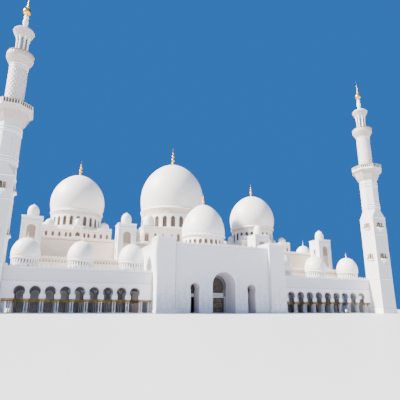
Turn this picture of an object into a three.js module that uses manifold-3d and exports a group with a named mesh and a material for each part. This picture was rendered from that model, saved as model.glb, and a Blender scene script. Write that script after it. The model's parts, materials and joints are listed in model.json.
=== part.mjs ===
// A large congregational mosque as a model at one tenth of its real size: a prayer hall
// under three domes, an entrance portal, two domed arcades and two minarets.
// Millimetres, +Z up, +X to the right along the front, -Y towards the courtyard.
// 100 mm here stand for one metre of the real building.
import * as THREE from "three";
import { mergeVertices } from "three/addons/utils/BufferGeometryUtils.js";
import Module from "manifold-3d";

const wasm = await Module();
wasm.setup();

// Driving dimensions. Y is measured from the front plane of the arcades.
const FLOOR = 15;
const MIDDLE_Y = 4000;
const BACK_Y = 8825;
const STEP = 427;

const PORTAL = {
  half: 2430,
  pylonInner: 1790,
  pylonFront: -530,
  pylonBack: 320,
  pylonTop: 2450,
  front: -400,
  top: 2300,
  wall: 100,
  roofThick: 60,
};
const ENTRANCE = {
  archHalf: 435,
  archSpring: 930,
  archTop: 1390,
  vaultWall: 60,
  screenFront: 350,
  screenWall: 60,
  headRadius: 350,
  headCentre: 910,
  neckHalf: 325,
  transomBottom: 534,
  transomTop: 695,
};
const SIDE_ARCH = { x: 1070, radius: 175, centre: 815, neckHalf: 155, depth: 480 };
const SLITS = { places: [560, 960], half: 30, sill: 1740, head: 1960 };
const FANLIGHT = { seat: 0.3, thick: 16 };
const DOOR = { gap: 7, thick: 10, post: 6, pin: 3, seat: 0.3, bottomGap: 5 };

const ARCADE = {
  firstArch: 3010,
  arches: 9,
  wall: 140,
  endWall: 100,
  top: 1340,
  headRadius: 152,
  headCentre: 633,
  neckHalf: 125,
  impostTop: 424,
  impostBottom: 330,
  impostHalf: 62,
  columnRadius: 15,
  columnSpread: 36,
  baseTop: 45,
  pylonGap: 6,
  endBay: 190,
  outer: 6925,
  roofTop: 1300,
  roofThick: 50,
};
const ARCADE_DOME = {
  places: [3040, 4720, 6400],
  y: 630,
  radius: 410,
  wall: 28,
  ring: 1620,
  widest: 440,
  widestZ: 1660,
  top: 2295,
  point: 0.95,
  sill: 1430,
  head: 1570,
  windowHalf: 26,
};

const GALLERY = { front: 1340, wall: 100, top: 1800, roofThick: 50, end: 6720 };
const GALLERY_DOOR = { half: 130, spring: 560, top: 700 };
const HALL = { front: 2600, half: 6720, wall: 100, top: 2700, roofTop: 2660, roofThick: 60 };
const HALL_DOOR = { half: 300, spring: 620, top: 900 };
const CORNER_DOME = { x: 6260, y: 3425, radius: 355, base: 2830, top: 3230, wall: 28 };
const TOWER = {
  places: [2980, 6380],
  half: 340,
  front: 1920,
  top: 3320,
  wall: 60,
  nicheHalf: 155,
  nicheBottom: 2050,
  nicheSpring: 2870,
  nicheTop: 3020,
  dome: 190,
  domeTop: 3790,
};
const TOWER_WINDOW = { half: 40, sill: 2620, spring: 2800, top: 2850 };

const ENTRANCE_DOME = {
  x: 0,
  y: 1490,
  base: PORTAL.top,
  radius: 820,
  wall: 45,
  ring: 2930,
  widest: 865,
  widestZ: 3060,
  top: 4250,
  point: 1.15,
  tip: 4730,
  sill: 2440,
  head: 2730,
  windowHalf: 60,
};
const MAIN_DOME = {
  x: 0,
  y: 5730,
  base: 3670,
  radius: 1600,
  wall: 60,
  ring: 4800,
  widest: 1640,
  widestZ: 5430,
  top: 7415,
  point: 1.15,
  tip: 8440,
  sill: 3830,
  head: 4390,
  windowHalf: 118,
};
const SIDE_DOME = {
  x: 4640,
  y: 5680,
  base: 3360,
  radius: 1125,
  wall: 50,
  ring: 4330,
  widest: 1232,
  widestZ: 4755,
  top: 6205,
  point: 1.15,
  tip: 7000,
  sill: 3620,
  head: 4060,
  windowHalf: 82,
};
const BULGE_AT = 0.4;

// Turned outlines, as shares of a radius and of a height.
const FINIAL_OUTLINE = [
  [0, 0],
  [1, 0],
  [0.7, 0.22],
  [1.5, 0.34],
  [0.5, 0.46],
  [1, 0.55],
  [0.35, 0.65],
  [0.3, 0.9],
  [0, 1],
];
const MINARET_FINIAL_OUTLINE = [
  [0, 0],
  [1, 0],
  [0.68, 0.14],
  [0.5, 0.33],
  [1, 0.39],
  [1.36, 0.475],
  [1, 0.56],
  [0.36, 0.62],
  [0.25, 0.78],
  [0, 1],
];
const CAP_OUTLINE = [
  [1, 0],
  [0.9, 0.375],
  [0.66, 0.7],
  [0.34, 0.92],
  [0, 1],
];
const TURRET_OUTLINE = [
  [0, 0],
  [0.94, 0],
  [1, 0.35],
  [0.72, 0.76],
  [0, 1],
];
const TOWER_DOME_OUTLINE = [
  [0, 0],
  [0.93, 0],
  [0.93, 0.12],
  [1, 0.38],
  [0.9, 0.64],
  [0.55, 0.88],
  [0, 1],
];

// The square blocks under the domes. Windows are [offset from the middle, half width, sill, head].
const MAIN_BLOCK = {
  half: 1900,
  wall: 60,
  windows: [
    [1740, 80, 3020, 3370],
    [1350, 45, 3260, 3390],
    [1005, 45, 3260, 3390],
    [555, 45, 3260, 3390],
    [260, 55, 3050, 3430],
  ],
  corner: { at: 1590, half: 310, top: 3680, dome: 250, domeTop: 4260 },
};
const SIDE_BLOCK = {
  half: 1420,
  wall: 60,
  windows: [
    [1240, 42, 3050, 3240],
    [980, 42, 3050, 3240],
    [720, 42, 3050, 3240],
    [460, 42, 3050, 3240],
    [285, 42, 3050, 3240],
    [0, 95, 3070, 3290],
  ],
  corner: { at: 1130, half: 290, top: 3470, dome: 195, domeTop: 3790 },
  middle: { at: 1330, half: 200, top: 3510, dome: 150, domeTop: 3860 },
};

const MINARET = {
  x: 7270,
  y: -240,
  half: 345,
  wall: 80,
  squareTop: 3970,
  octagonStart: 4270,
  flareOne: 5660,
  balconyOne: 6160,
  balconyOneHalf: 585,
  railOne: 6310,
  drum: 275,
  flareTwo: 7800,
  balconyTwo: 8130,
  balconyTwoRadius: 420,
  railTwo: 8240,
  lantern: 220,
  crownStart: 8740,
  crownWidest: 9110,
  crownRadius: 320,
  crownTop: 9250,
  tip: 10700,
  windowHalf: 60,
  windowHeight: 260,
  windowSills: [2190, 3510],
  bar: 30,
  lip: 60,
  corbelStep: 120,
  columns: 8,
  columnRadius: 30,
  seatThick: 40,
};
const FINIAL_NECK = 28;
const MINARET_FINIAL_NECK = 110;

// Colours, roughness and metalness of the real materials.
const MARBLE = { color: 0xe9e9e6, roughness: 0.45, metalness: 0 };
const LIMESTONE = { color: 0xdfd2c0, roughness: 0.75, metalness: 0 };
const SHELL = { color: 0xf3f0ea, roughness: 0.5, metalness: 0 };
const GOLD = { color: 0xd9a93a, roughness: 0.25, metalness: 1 };
const BRONZE = { color: 0x6b5230, roughness: 0.4, metalness: 0.7 };
const LATTICE = { color: 0x7c6138, roughness: 0.35, metalness: 0.3 };
const FLOORING = { color: 0xd8d8d6, roughness: 0.3, metalness: 0 };

const HALF_TURN = Math.PI;
const QUARTER_TURN = Math.PI / 2;
const FULL_TURN = Math.PI * 2;
const DOME_SEGMENTS = 24;
const DOME_STEPS = 5;
const SHAFT_SEGMENTS = 16;
const SMALL_SEGMENTS = 12;
const SMALL_STEPS = 4;
const TURRET_SEGMENTS = 8;
const ARCH_STEPS = 12;
const HEAD_STEPS = 10;
const DOOR_STEPS = 6;
const FINIAL_SEAT = 30;
const EPSILON = 1e-3;
const CUT = 1;

// A closed three.js geometry as a solid that can be joined and cut.
function solidOf(geometry) {
  const bare = geometry.clone();
  bare.deleteAttribute("normal");
  bare.deleteAttribute("uv");
  const merged = mergeVertices(bare, EPSILON);
  const index = merged.index.array;
  const kept = [];
  for (let i = 0; i < index.length; i += 3) {
    const [a, b, c] = [index[i], index[i + 1], index[i + 2]];
    if (a !== b && b !== c && c !== a) kept.push(a, b, c);
  }
  return new wasm.Manifold(
    new wasm.Mesh({
      numProp: 3,
      vertProperties: merged.attributes.position.array,
      triVerts: new Uint32Array(kept),
    }),
  );
}

// A solid back as a three.js geometry.
function geometryOf(solid) {
  const mesh = solid.getMesh();
  const geometry = new THREE.BufferGeometry();
  geometry.setAttribute("position", new THREE.BufferAttribute(mesh.vertProperties, mesh.numProp));
  geometry.setIndex(new THREE.BufferAttribute(mesh.triVerts, 1));
  const flat = geometry.toNonIndexed();
  flat.computeVertexNormals();
  return flat;
}

// A box between two corners.
function box(x0, x1, y0, y1, z0, z1) {
  const geometry = new THREE.BoxGeometry(x1 - x0, y1 - y0, z1 - z0);
  return geometry.translate((x0 + x1) / 2, (y0 + y1) / 2, (z0 + z1) / 2);
}

function boxSolid(x0, x1, y0, y1, z0, z1) {
  return solidOf(box(x0, x1, y0, y1, z0, z1));
}

// An outline drawn in X and Z, carried from y0 to y1.
function prism(points, y0, y1) {
  const shape = new THREE.Shape(points);
  const geometry = new THREE.ExtrudeGeometry(shape, { depth: y1 - y0, bevelEnabled: false });
  return geometry.rotateX(QUARTER_TURN).translate(0, y1, 0);
}

// A profile of [radius, height] pairs, up the outside and down the inside, turned about +Z.
function turned(profile, segments, start = 0) {
  const points = profile.map(([r, z]) => new THREE.Vector2(r, z));
  const geometry = new THREE.LatheGeometry(points, segments, start, FULL_TURN);
  return geometry.rotateX(QUARTER_TURN);
}

// A closed ring profile needs its first point again at the end.
function ringProfile(outside, inside) {
  const down = [...inside].reverse();
  return [...outside, ...down, outside[0]];
}

// Points of an arch: straight jambs, then half an ellipse from the spring to the crown.
function archPoints(half, bottom, spring, top, steps) {
  const points = [new THREE.Vector2(half, bottom)];
  for (let i = 0; i <= steps; i += 1) {
    const a = (HALF_TURN * i) / steps;
    points.push(new THREE.Vector2(half * Math.cos(a), spring + (top - spring) * Math.sin(a)));
  }
  points.push(new THREE.Vector2(-half, bottom));
  return points;
}

// Points of a horseshoe arch: jambs up to the neck, then a circle wider than the neck.
function horseshoePoints(radius, centre, neckHalf, bottom, steps) {
  const below = Math.acos(neckHalf / radius);
  const points = [new THREE.Vector2(neckHalf, bottom)];
  for (let i = 0; i <= steps; i += 1) {
    const a = -below + ((HALF_TURN + 2 * below) * i) / steps;
    points.push(new THREE.Vector2(radius * Math.cos(a), centre + radius * Math.sin(a)));
  }
  points.push(new THREE.Vector2(-neckHalf, bottom));
  return points;
}

// A window outline with a pointed head.
function windowPoints(half, sill, head) {
  const spring = head - half;
  return [
    new THREE.Vector2(half, sill),
    new THREE.Vector2(half, spring),
    new THREE.Vector2(0, head),
    new THREE.Vector2(-half, spring),
    new THREE.Vector2(-half, sill),
  ];
}

function movedBy(points, dx) {
  return points.map((p) => new THREE.Vector2(p.x + dx, p.y));
}

// Everything is drawn on the left and mirrored by its sign: -1 is left, +1 is right.
function spanX(side, inner, outer) {
  return side < 0 ? [-outer, -inner] : [inner, outer];
}

function sideName(side) {
  return side < 0 ? "left" : "right";
}

// The outline of a dome above its ring: a short bulge to the widest line, then a pointed curve.
function domeCurve(dome, inset, steps) {
  const widest = dome.widest - inset;
  const rise = dome.top - inset - dome.widestZ;
  const bulge = (dome.radius + dome.widest) / 2 - inset + dome.wall / 4;
  const points = [
    [dome.radius - inset, dome.ring],
    [bulge, dome.ring + BULGE_AT * (dome.widestZ - dome.ring)],
  ];
  for (let i = 0; i < steps; i += 1) {
    const a = (QUARTER_TURN * i) / steps;
    points.push([widest * Math.cos(a) ** dome.point, dome.widestZ + rise * Math.sin(a)]);
  }
  return points;
}

// A drum and its dome as one shell, open below, with one window in each face of the drum.
function domeOnDrum(dome, segments, steps) {
  const outside = [
    [dome.radius, dome.base],
    [dome.radius, dome.ring - dome.wall],
    [dome.radius + dome.wall, dome.ring - dome.wall / 2],
    ...domeCurve(dome, 0, steps),
    [FINIAL_SEAT, dome.top],
    [0, dome.top],
  ];
  const inner = dome.radius - dome.wall;
  const inside = [
    [inner, dome.base],
    ...domeCurve(dome, dome.wall, steps - 2),
    [0, dome.top - dome.wall],
  ];
  const profile = ringProfile(outside, inside);
  let shell = solidOf(turned(profile, segments, HALF_TURN / segments));
  const points = windowPoints(dome.windowHalf, dome.sill, dome.head);
  const cutter = prism(points, inner - 2 * dome.wall, dome.radius + dome.wall);
  for (let i = 0; i < segments; i += 1) {
    shell = shell.subtract(solidOf(cutter.clone().rotateZ((FULL_TURN * i) / segments)));
  }
  return geometryOf(shell.translate([dome.x, dome.y, 0]));
}

// An outline given in shares, as a profile with a radius and two heights.
function outlined(outline, radius, bottom, top) {
  return outline.map(([r, z]) => [r * radius, bottom + z * (top - bottom)]);
}

// A solid cylinder, or a prism with as many faces as it has segments.
function cylinder(radius, z0, z1, segments, start = 0) {
  const profile = [
    [0, z0],
    [radius, z0],
    [radius, z1],
    [0, z1],
  ];
  return turned(profile, segments, start);
}

// A gilded finial: a slim neck, two balls and a tapering tip, turned as one piece.
function finial(dome) {
  const profile = outlined(FINIAL_OUTLINE, FINIAL_NECK, dome.top, dome.tip);
  return turned(profile, TURRET_SEGMENTS).translate(dome.x, dome.y, 0);
}

// The floor under the portal, gallery and hall.
function floorSlab() {
  const { half, pylonFront } = PORTAL;
  const porch = boxSolid(-half, half, pylonFront, HALL.front, 0, FLOOR);
  const hall = boxSolid(-HALL.half, HALL.half, GALLERY.front, BACK_Y, 0, FLOOR);
  return geometryOf(porch.add(hall));
}

// The centre wall of the portal with its tall arch and two narrow horseshoe arches.
function portalFrontWall() {
  const { pylonInner, front, top, wall } = PORTAL;
  const e = ENTRANCE;
  const s = SIDE_ARCH;
  let made = boxSolid(-pylonInner, pylonInner, front, front + wall, FLOOR, top);
  const [y0, y1] = [front - wall, front + 2 * wall];
  const arch = archPoints(e.archHalf, -FLOOR, e.archSpring, e.archTop, ARCH_STEPS);
  made = made.subtract(solidOf(prism(arch, y0, y1)));
  for (const side of [-1, 1]) {
    const points = horseshoePoints(s.radius, s.centre, s.neckHalf, -FLOOR, HEAD_STEPS);
    made = made.subtract(solidOf(prism(movedBy(points, side * s.x), y0, y1)));
  }
  return geometryOf(made);
}

// One pylon with the flank wall that runs back from it to the hall.
function portalFlank(side) {
  const p = PORTAL;
  const [x0, x1] = spanX(side, p.pylonInner, p.half);
  const [w0, w1] = spanX(side, p.half - p.wall, p.half);
  const pylon = boxSolid(x0, x1, p.pylonFront, p.pylonBack, FLOOR, p.pylonTop);
  const hollow = boxSolid(
    x0 + p.wall,
    x1 - p.wall,
    p.pylonFront + p.wall,
    p.pylonBack - p.wall,
    -FLOOR,
    p.pylonTop - p.wall,
  );
  const flank = boxSolid(w0, w1, p.pylonBack - CUT, HALL.front, FLOOR, p.top);
  let made = pylon.subtract(hollow).add(flank);
  for (const y of SLITS.places) {
    const slit = boxSolid(w0 - CUT, w1 + CUT, y - SLITS.half, y + SLITS.half, SLITS.sill, SLITS.head);
    made = made.subtract(slit);
  }
  return geometryOf(made);
}

// The roof behind the portal walls, open under the entrance dome.
function portalRoof() {
  const p = PORTAL;
  const inner = p.half - p.wall;
  const [z0, z1] = [p.top - p.roofThick, p.top];
  const back = boxSolid(-inner, inner, p.pylonBack, HALL.front, z0, z1);
  const front = boxSolid(-p.pylonInner, p.pylonInner, p.front + p.wall, p.pylonBack + CUT, z0, z1);
  const { x, y } = ENTRANCE_DOME;
  const eye = solidOf(eyeCutter(ENTRANCE_DOME, DOME_SEGMENTS, z0, z1).translate(x, y, 0));
  return geometryOf(back.add(front).subtract(eye));
}

// A vaulted passage: the wall around an opening carried back from the front wall.
function passage(inner, outer, y0, y1) {
  const hollow = solidOf(prism(inner, y0 - CUT, y1 + CUT));
  return geometryOf(solidOf(prism(outer, y0, y1)).subtract(hollow));
}

function entranceVault() {
  const e = ENTRANCE;
  const w = e.vaultWall;
  const inner = archPoints(e.archHalf, -FLOOR, e.archSpring, e.archTop, ARCH_STEPS);
  const outer = archPoints(e.archHalf + w, FLOOR, e.archSpring, e.archTop + w, ARCH_STEPS);
  return passage(inner, outer, PORTAL.front + PORTAL.wall, e.screenFront);
}

function sideVault(side) {
  const s = SIDE_ARCH;
  const w = ENTRANCE.vaultWall;
  const inner = horseshoePoints(s.radius, s.centre, s.neckHalf, -FLOOR, HEAD_STEPS);
  const outer = archPoints(s.radius + w, FLOOR, s.centre, s.centre + s.radius + w, HEAD_STEPS);
  const y0 = PORTAL.front + PORTAL.wall;
  return passage(movedBy(inner, side * s.x), movedBy(outer, side * s.x), y0, PORTAL.front + s.depth);
}

// The screen wall across the end of the entrance vault, with a transom over the doors.
function entranceScreen() {
  const e = ENTRANCE;
  const w = e.vaultWall;
  const outline = archPoints(e.archHalf + w, FLOOR, e.archSpring, e.archTop + w, ARCH_STEPS);
  const y1 = e.screenFront + e.screenWall;
  let made = solidOf(prism(outline, e.screenFront, y1));
  const points = horseshoePoints(e.headRadius, e.headCentre, e.neckHalf, -FLOOR, ARCH_STEPS);
  made = made.subtract(solidOf(prism(points, e.screenFront - CUT, y1 + CUT)));
  const reach = e.neckHalf + w / 2;
  const transom = boxSolid(-reach, reach, e.screenFront, y1, e.transomBottom, e.transomTop);
  return geometryOf(made.add(transom));
}

// The lattice fanlight above the transom, one sheet inside the horseshoe.
function entranceFanlight() {
  const e = ENTRANCE;
  const { seat, thick } = FANLIGHT;
  const y0 = e.screenFront + (e.screenWall - thick) / 2;
  const y1 = y0 + thick;
  const whole = horseshoePoints(e.headRadius - seat, e.headCentre, e.neckHalf - seat, 0, ARCH_STEPS);
  const half = e.archHalf;
  const below = boxSolid(-half, half, y0 - CUT, y1 + CUT, -CUT, e.transomTop + seat);
  return geometryOf(solidOf(prism(whole, y0, y1)).subtract(below));
}

// One door leaf, hung on a round post whose pins turn in the floor and the transom.
function doorLeaf(side) {
  const e = ENTRANCE;
  const d = DOOR;
  const axis = leafAxis(side);
  const inner = d.gap / 2;
  const outer = e.neckHalf - d.gap;
  const [x0, x1] = spanX(side, inner, outer);
  const y0 = axis.y - d.thick / 2;
  const bottom = FLOOR + d.bottomGap;
  const top = e.transomBottom - d.bottomGap;
  const panel = boxSolid(x0, x1, y0, y0 + d.thick, bottom, top);
  const pin = cylinder(d.pin, FLOOR + d.seat, e.transomBottom - d.seat, TURRET_SEGMENTS);
  return geometryOf(panel.add(solidOf(pin.translate(axis.x, axis.y, 0))));
}

// The upright axis of a leaf, near the jamb.
function leafAxis(side) {
  const x = side * (ENTRANCE.neckHalf - DOOR.gap - DOOR.post);
  return { x, y: ENTRANCE.screenFront + ENTRANCE.screenWall / 2 };
}

// Centres of the column clusters of an arcade, from the portal outwards.
function clusterPlaces() {
  const places = [PORTAL.half + ARCADE.impostHalf + ARCADE.pylonGap];
  const first = ARCADE.firstArch - STEP / 2;
  for (let i = 0; i <= ARCADE.arches; i += 1) places.push(first + STEP * i);
  places.push(first + STEP * ARCADE.arches + ARCADE.endBay);
  return places;
}

// The arcade front above the imposts, with its end wall behind the minaret.
function arcadeWall(side) {
  const a = ARCADE;
  const [x0, x1] = spanX(side, PORTAL.half, a.outer);
  let made = boxSolid(x0, x1, 0, a.wall, a.impostTop, a.top);
  const last = clusterPlaces().at(-1) + a.impostHalf;
  const [p0, p1] = spanX(side, last, a.outer);
  made = made.add(boxSolid(p0, p1, 0, a.wall, FLOOR, a.top));
  const [e0, e1] = spanX(side, a.outer - a.endWall, a.outer);
  made = made.add(boxSolid(e0, e1, a.wall, GALLERY.front, FLOOR, a.top));
  for (let i = 0; i < a.arches; i += 1) {
    const x = side * (a.firstArch + STEP * i);
    const points = horseshoePoints(a.headRadius, a.headCentre, a.neckHalf, a.impostTop - CUT, HEAD_STEPS);
    made = made.subtract(solidOf(prism(movedBy(points, x), -CUT, a.wall + CUT)));
  }
  return geometryOf(made);
}

// The arcade floor with the clusters of four slim columns that it carries.
function arcadeColumns(side) {
  const a = ARCADE;
  const [x0, x1] = spanX(side, PORTAL.half, a.outer);
  let made = boxSolid(x0, x1, 0, GALLERY.front, 0, FLOOR);
  const middle = a.wall / 2;
  const shaft = cylinder(a.columnRadius, a.baseTop - CUT, a.impostBottom + CUT, 4, HALF_TURN / 4);
  for (const place of clusterPlaces()) {
    const x = side * place;
    const h = a.impostHalf;
    let cluster = boxSolid(x - h, x + h, middle - h, middle + h, FLOOR, a.baseTop);
    cluster = cluster.add(boxSolid(x - h, x + h, middle - h, middle + h, a.impostBottom, a.impostTop));
    for (const dx of [-a.columnSpread, a.columnSpread]) {
      for (const dy of [-a.columnSpread, a.columnSpread]) {
        cluster = cluster.add(solidOf(shaft.clone().translate(x + dx, middle + dy, 0)));
      }
    }
    made = made.add(cluster);
  }
  return geometryOf(made);
}

// The arcade roof between its walls, open under its three domes.
function arcadeRoof(side) {
  const a = ARCADE;
  const d = ARCADE_DOME;
  const [x0, x1] = spanX(side, PORTAL.half, a.outer - a.endWall);
  const [z0, z1] = [a.roofTop - a.roofThick, a.roofTop];
  let made = boxSolid(x0, x1, a.wall, GALLERY.front, z0, z1);
  const hole = eyeCutter(d, SMALL_SEGMENTS, z0, z1);
  for (const place of d.places) {
    made = made.subtract(solidOf(hole.clone().translate(side * place, d.y, 0)));
  }
  return geometryOf(made);
}

function arcadeDome(side, place) {
  const sizes = { ...ARCADE_DOME, x: side * place, base: ARCADE.roofTop };
  return domeOnDrum(sizes, SMALL_SEGMENTS, SMALL_STEPS);
}

// The wall behind the arcade with its doorways, and its end wall.
function galleryWall(side) {
  const g = GALLERY;
  const d = GALLERY_DOOR;
  const a = ARCADE;
  const [x0, x1] = spanX(side, PORTAL.half, g.end);
  let made = boxSolid(x0, x1, g.front, g.front + g.wall, FLOOR, g.top);
  const [e0, e1] = spanX(side, g.end - g.wall, g.end);
  made = made.add(boxSolid(e0, e1, g.front, HALL.front, FLOOR, g.top));
  for (let i = 0; i < a.arches; i += 1) {
    const x = side * (a.firstArch + STEP * i);
    const points = archPoints(d.half, -FLOOR, d.spring, d.top, DOOR_STEPS);
    made = made.subtract(solidOf(prism(movedBy(points, x), g.front - CUT, g.front + g.wall + CUT)));
  }
  return geometryOf(made);
}

function galleryRoof(side) {
  const g = GALLERY;
  const [x0, x1] = spanX(side, PORTAL.half, g.end - g.wall);
  return box(x0, x1, g.front + g.wall, HALL.front, g.top - g.roofThick, g.top);
}

// A square tower on the gallery roof against the hall, with a niche and a small dome.
function tower(side, place) {
  const t = TOWER;
  const w = TOWER_WINDOW;
  const h = t.half;
  const [y0, y1] = [t.front - HALL.front, 0];
  const depth = y1 - y0;
  const base = GALLERY.top;
  const inside = h - t.wall;
  let made = boxSolid(-h, h, y0, y1, base, t.top);
  made = made.subtract(
    boxSolid(-inside, inside, y0 + t.wall, y1 - t.wall, base - CUT, t.top - t.wall),
  );
  const niche = archPoints(t.nicheHalf, t.nicheBottom, t.nicheSpring, t.nicheTop, DOOR_STEPS);
  made = made.subtract(solidOf(prism(niche, y0 - CUT, y0 + t.wall / 2)));
  const points = archPoints(w.half, w.sill, w.spring, w.top, DOOR_STEPS);
  const window = prism(points, -h - CUT, h + CUT).rotateZ(QUARTER_TURN);
  made = made.subtract(solidOf(window.translate(0, y0 + depth / 2, 0)));
  const profile = outlined(TOWER_DOME_OUTLINE, t.dome, t.top - CUT, t.domeTop);
  const dome = turned(profile, SMALL_SEGMENTS).translate(0, y0 + depth / 2, 0);
  made = made.add(solidOf(dome));
  return geometryOf(made.translate([side * place, HALL.front, 0]));
}

// The four walls of the hall. The front one has the doorway behind the entrance.
function hallFrontWall() {
  const { half, front, wall, top } = HALL;
  const points = archPoints(HALL_DOOR.half, -FLOOR, HALL_DOOR.spring, HALL_DOOR.top, DOOR_STEPS);
  const made = boxSolid(-half, half, front, front + wall, FLOOR, top);
  return geometryOf(made.subtract(solidOf(prism(points, front - CUT, front + wall + CUT))));
}

function hallBackWall() {
  return box(-HALL.half, HALL.half, BACK_Y - HALL.wall, BACK_Y, FLOOR, HALL.top);
}

function hallSideWall(side) {
  const [x0, x1] = spanX(side, HALL.half - HALL.wall, HALL.half);
  return box(x0, x1, HALL.front + HALL.wall, BACK_Y - HALL.wall, FLOOR, HALL.top);
}

// The hall roof between the walls, open under the three blocks that carry the domes.
function hallRoof() {
  const h = HALL;
  const inner = h.half - h.wall;
  const [z0, z1] = [h.roofTop - h.roofThick, h.roofTop];
  let made = boxSolid(-inner, inner, h.front + h.wall, BACK_Y - h.wall, z0, z1);
  for (const [dome, block] of domeBlocks()) {
    const r = block.half - block.wall;
    const hole = boxSolid(dome.x - r, dome.x + r, dome.y - r, dome.y + r, z0 - CUT, z1 + CUT);
    made = made.subtract(hole);
  }
  return geometryOf(made);
}

function domeBlocks() {
  const left = { ...SIDE_DOME, x: -SIDE_DOME.x };
  return [
    [left, SIDE_BLOCK],
    [MAIN_DOME, MAIN_BLOCK],
    [SIDE_DOME, SIDE_BLOCK],
  ];
}

// A square block under a dome: four windowed walls, a lid with a round eye, and turrets.
function domeBlock(dome, block) {
  const { half, wall, corner, middle } = block;
  const bottom = HALL.roofTop;
  const top = dome.base;
  let made = boxSolid(-half, half, -half, half, bottom, top);
  for (const sx of [-1, 1]) {
    for (const sy of [-1, 1]) made = made.add(turret(sx * corner.at, sy * corner.at, corner, top));
  }
  for (const s of middle ? [-1, 1] : []) {
    made = made.add(turret(s * middle.at, 0, middle, bottom));
    made = made.add(turret(0, s * middle.at, middle, bottom));
  }
  const inner = half - wall;
  made = made.subtract(boxSolid(-inner, inner, -inner, inner, bottom - CUT, top - wall));
  made = made.subtract(solidOf(eyeCutter(dome, DOME_SEGMENTS, top - wall, top)));
  for (const [offset, halfWidth, sill, head] of block.windows) {
    for (const x of offset ? [-offset, offset] : [0]) {
      const cutter = prism(movedBy(windowPoints(halfWidth, sill, head), x), -2 * half, 2 * half);
      made = made.subtract(solidOf(cutter));
      made = made.subtract(solidOf(cutter.clone().rotateZ(QUARTER_TURN)));
    }
  }
  return geometryOf(made.translate([dome.x, dome.y, 0]));
}

// The round hole inside a drum, through a roof or lid between two heights.
function eyeCutter(dome, segments, z0, z1) {
  return cylinder(dome.radius - dome.wall, z0 - CUT, z1 + CUT, segments, HALF_TURN / segments);
}

// A square turret that rises from the block, with a small dome on it.
function turret(x, y, size, bottom) {
  const h = size.half;
  const body = boxSolid(x - h, x + h, y - h, y + h, bottom, size.top);
  const profile = outlined(TURRET_OUTLINE, size.dome, size.top - CUT, size.domeTop);
  return body.add(solidOf(turned(profile, TURRET_SEGMENTS).translate(x, y, 0)));
}

// A shallow dome on a round band near a front corner of the hall roof.
function cornerDome(side) {
  const c = CORNER_DOME;
  const z0 = HALL.roofTop;
  const r = c.radius - c.wall;
  const outside = [[c.radius, z0], ...outlined(CAP_OUTLINE, c.radius, c.base, c.top)];
  const inside = [[r, z0], ...outlined(CAP_OUTLINE, r, c.base, c.top - c.wall)];
  return turned(ringProfile(outside, inside), SMALL_SEGMENTS).translate(side * c.x, c.y, 0);
}

// The square shaft of a minaret, chamfered to the octagon, then flared to the first balcony.
function minaretLowerShaft(side) {
  const m = MINARET;
  const h = m.half;
  const inner = h - m.wall;
  const start = HALF_TURN / 8;
  const grow = 1 / Math.cos(start);
  const wide = h * Math.SQRT2;
  const chamfer = turned(
    [
      [0, m.squareTop],
      [wide * Math.SQRT2, m.squareTop],
      [wide, m.octagonStart],
      [0, m.octagonStart],
    ],
    4,
  );
  const straight = boxSolid(-h, h, -h, h, 0, m.squareTop);
  const shaped = straight.add(boxSolid(-h, h, -h, h, 0, m.octagonStart).intersect(solidOf(chamfer)));
  const outside = [
    [h, m.octagonStart - CUT],
    [h, m.flareOne],
    [h + m.lip, m.flareOne + m.corbelStep],
    [m.balconyOneHalf - m.lip - m.bar, m.balconyOne - m.corbelStep - m.bar],
    [m.balconyOneHalf, m.balconyOne - m.lip],
    [m.balconyOneHalf, m.railOne],
    [m.balconyOneHalf - m.bar, m.railOne],
    [m.balconyOneHalf - m.bar, m.balconyOne],
    [m.drum - m.wall, m.balconyOne],
  ];
  const inside = [
    [inner, m.octagonStart - CUT],
    [inner, m.flareOne],
    [m.drum - m.wall, m.balconyOne - m.lip],
  ];
  const flared = ringProfile(outside, inside).map(([r, z]) => [r * grow, z]);
  const hollow = boxSolid(-inner, inner, -inner, inner, -CUT, m.squareTop);
  const bore = cylinder(inner * grow, m.squareTop - CUT, m.octagonStart + CUT, 8, start);
  let made = shaped.subtract(hollow).subtract(solidOf(bore));
  made = made.add(solidOf(turned(flared, 8, start)));
  for (const sill of m.windowSills) {
    const points = windowPoints(m.windowHalf, sill, sill + m.windowHeight);
    const cutter = prism(points, -h - CUT, h + CUT);
    made = made.subtract(solidOf(cutter)).subtract(solidOf(cutter.clone().rotateZ(QUARTER_TURN)));
  }
  return geometryOf(made.translate([side * m.x, m.y, 0]));
}

// The round shaft between the balconies, with the second balcony at its top.
function minaretRoundShaft(side) {
  const m = MINARET;
  const bore = m.drum - m.wall;
  const rail = m.balconyTwoRadius - m.bar;
  const outside = [
    [m.drum, m.balconyOne],
    [m.drum, m.flareTwo],
    [m.drum + m.lip, m.flareTwo + m.corbelStep],
    [m.balconyTwoRadius, m.balconyTwo - m.lip],
    [m.balconyTwoRadius, m.railTwo],
    [rail, m.railTwo],
    [rail, m.balconyTwo],
  ];
  const inside = [
    [bore, m.balconyOne],
    [bore, m.balconyTwo],
  ];
  return turned(ringProfile(outside, inside), SHAFT_SEGMENTS).translate(side * m.x, m.y, 0);
}

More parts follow.
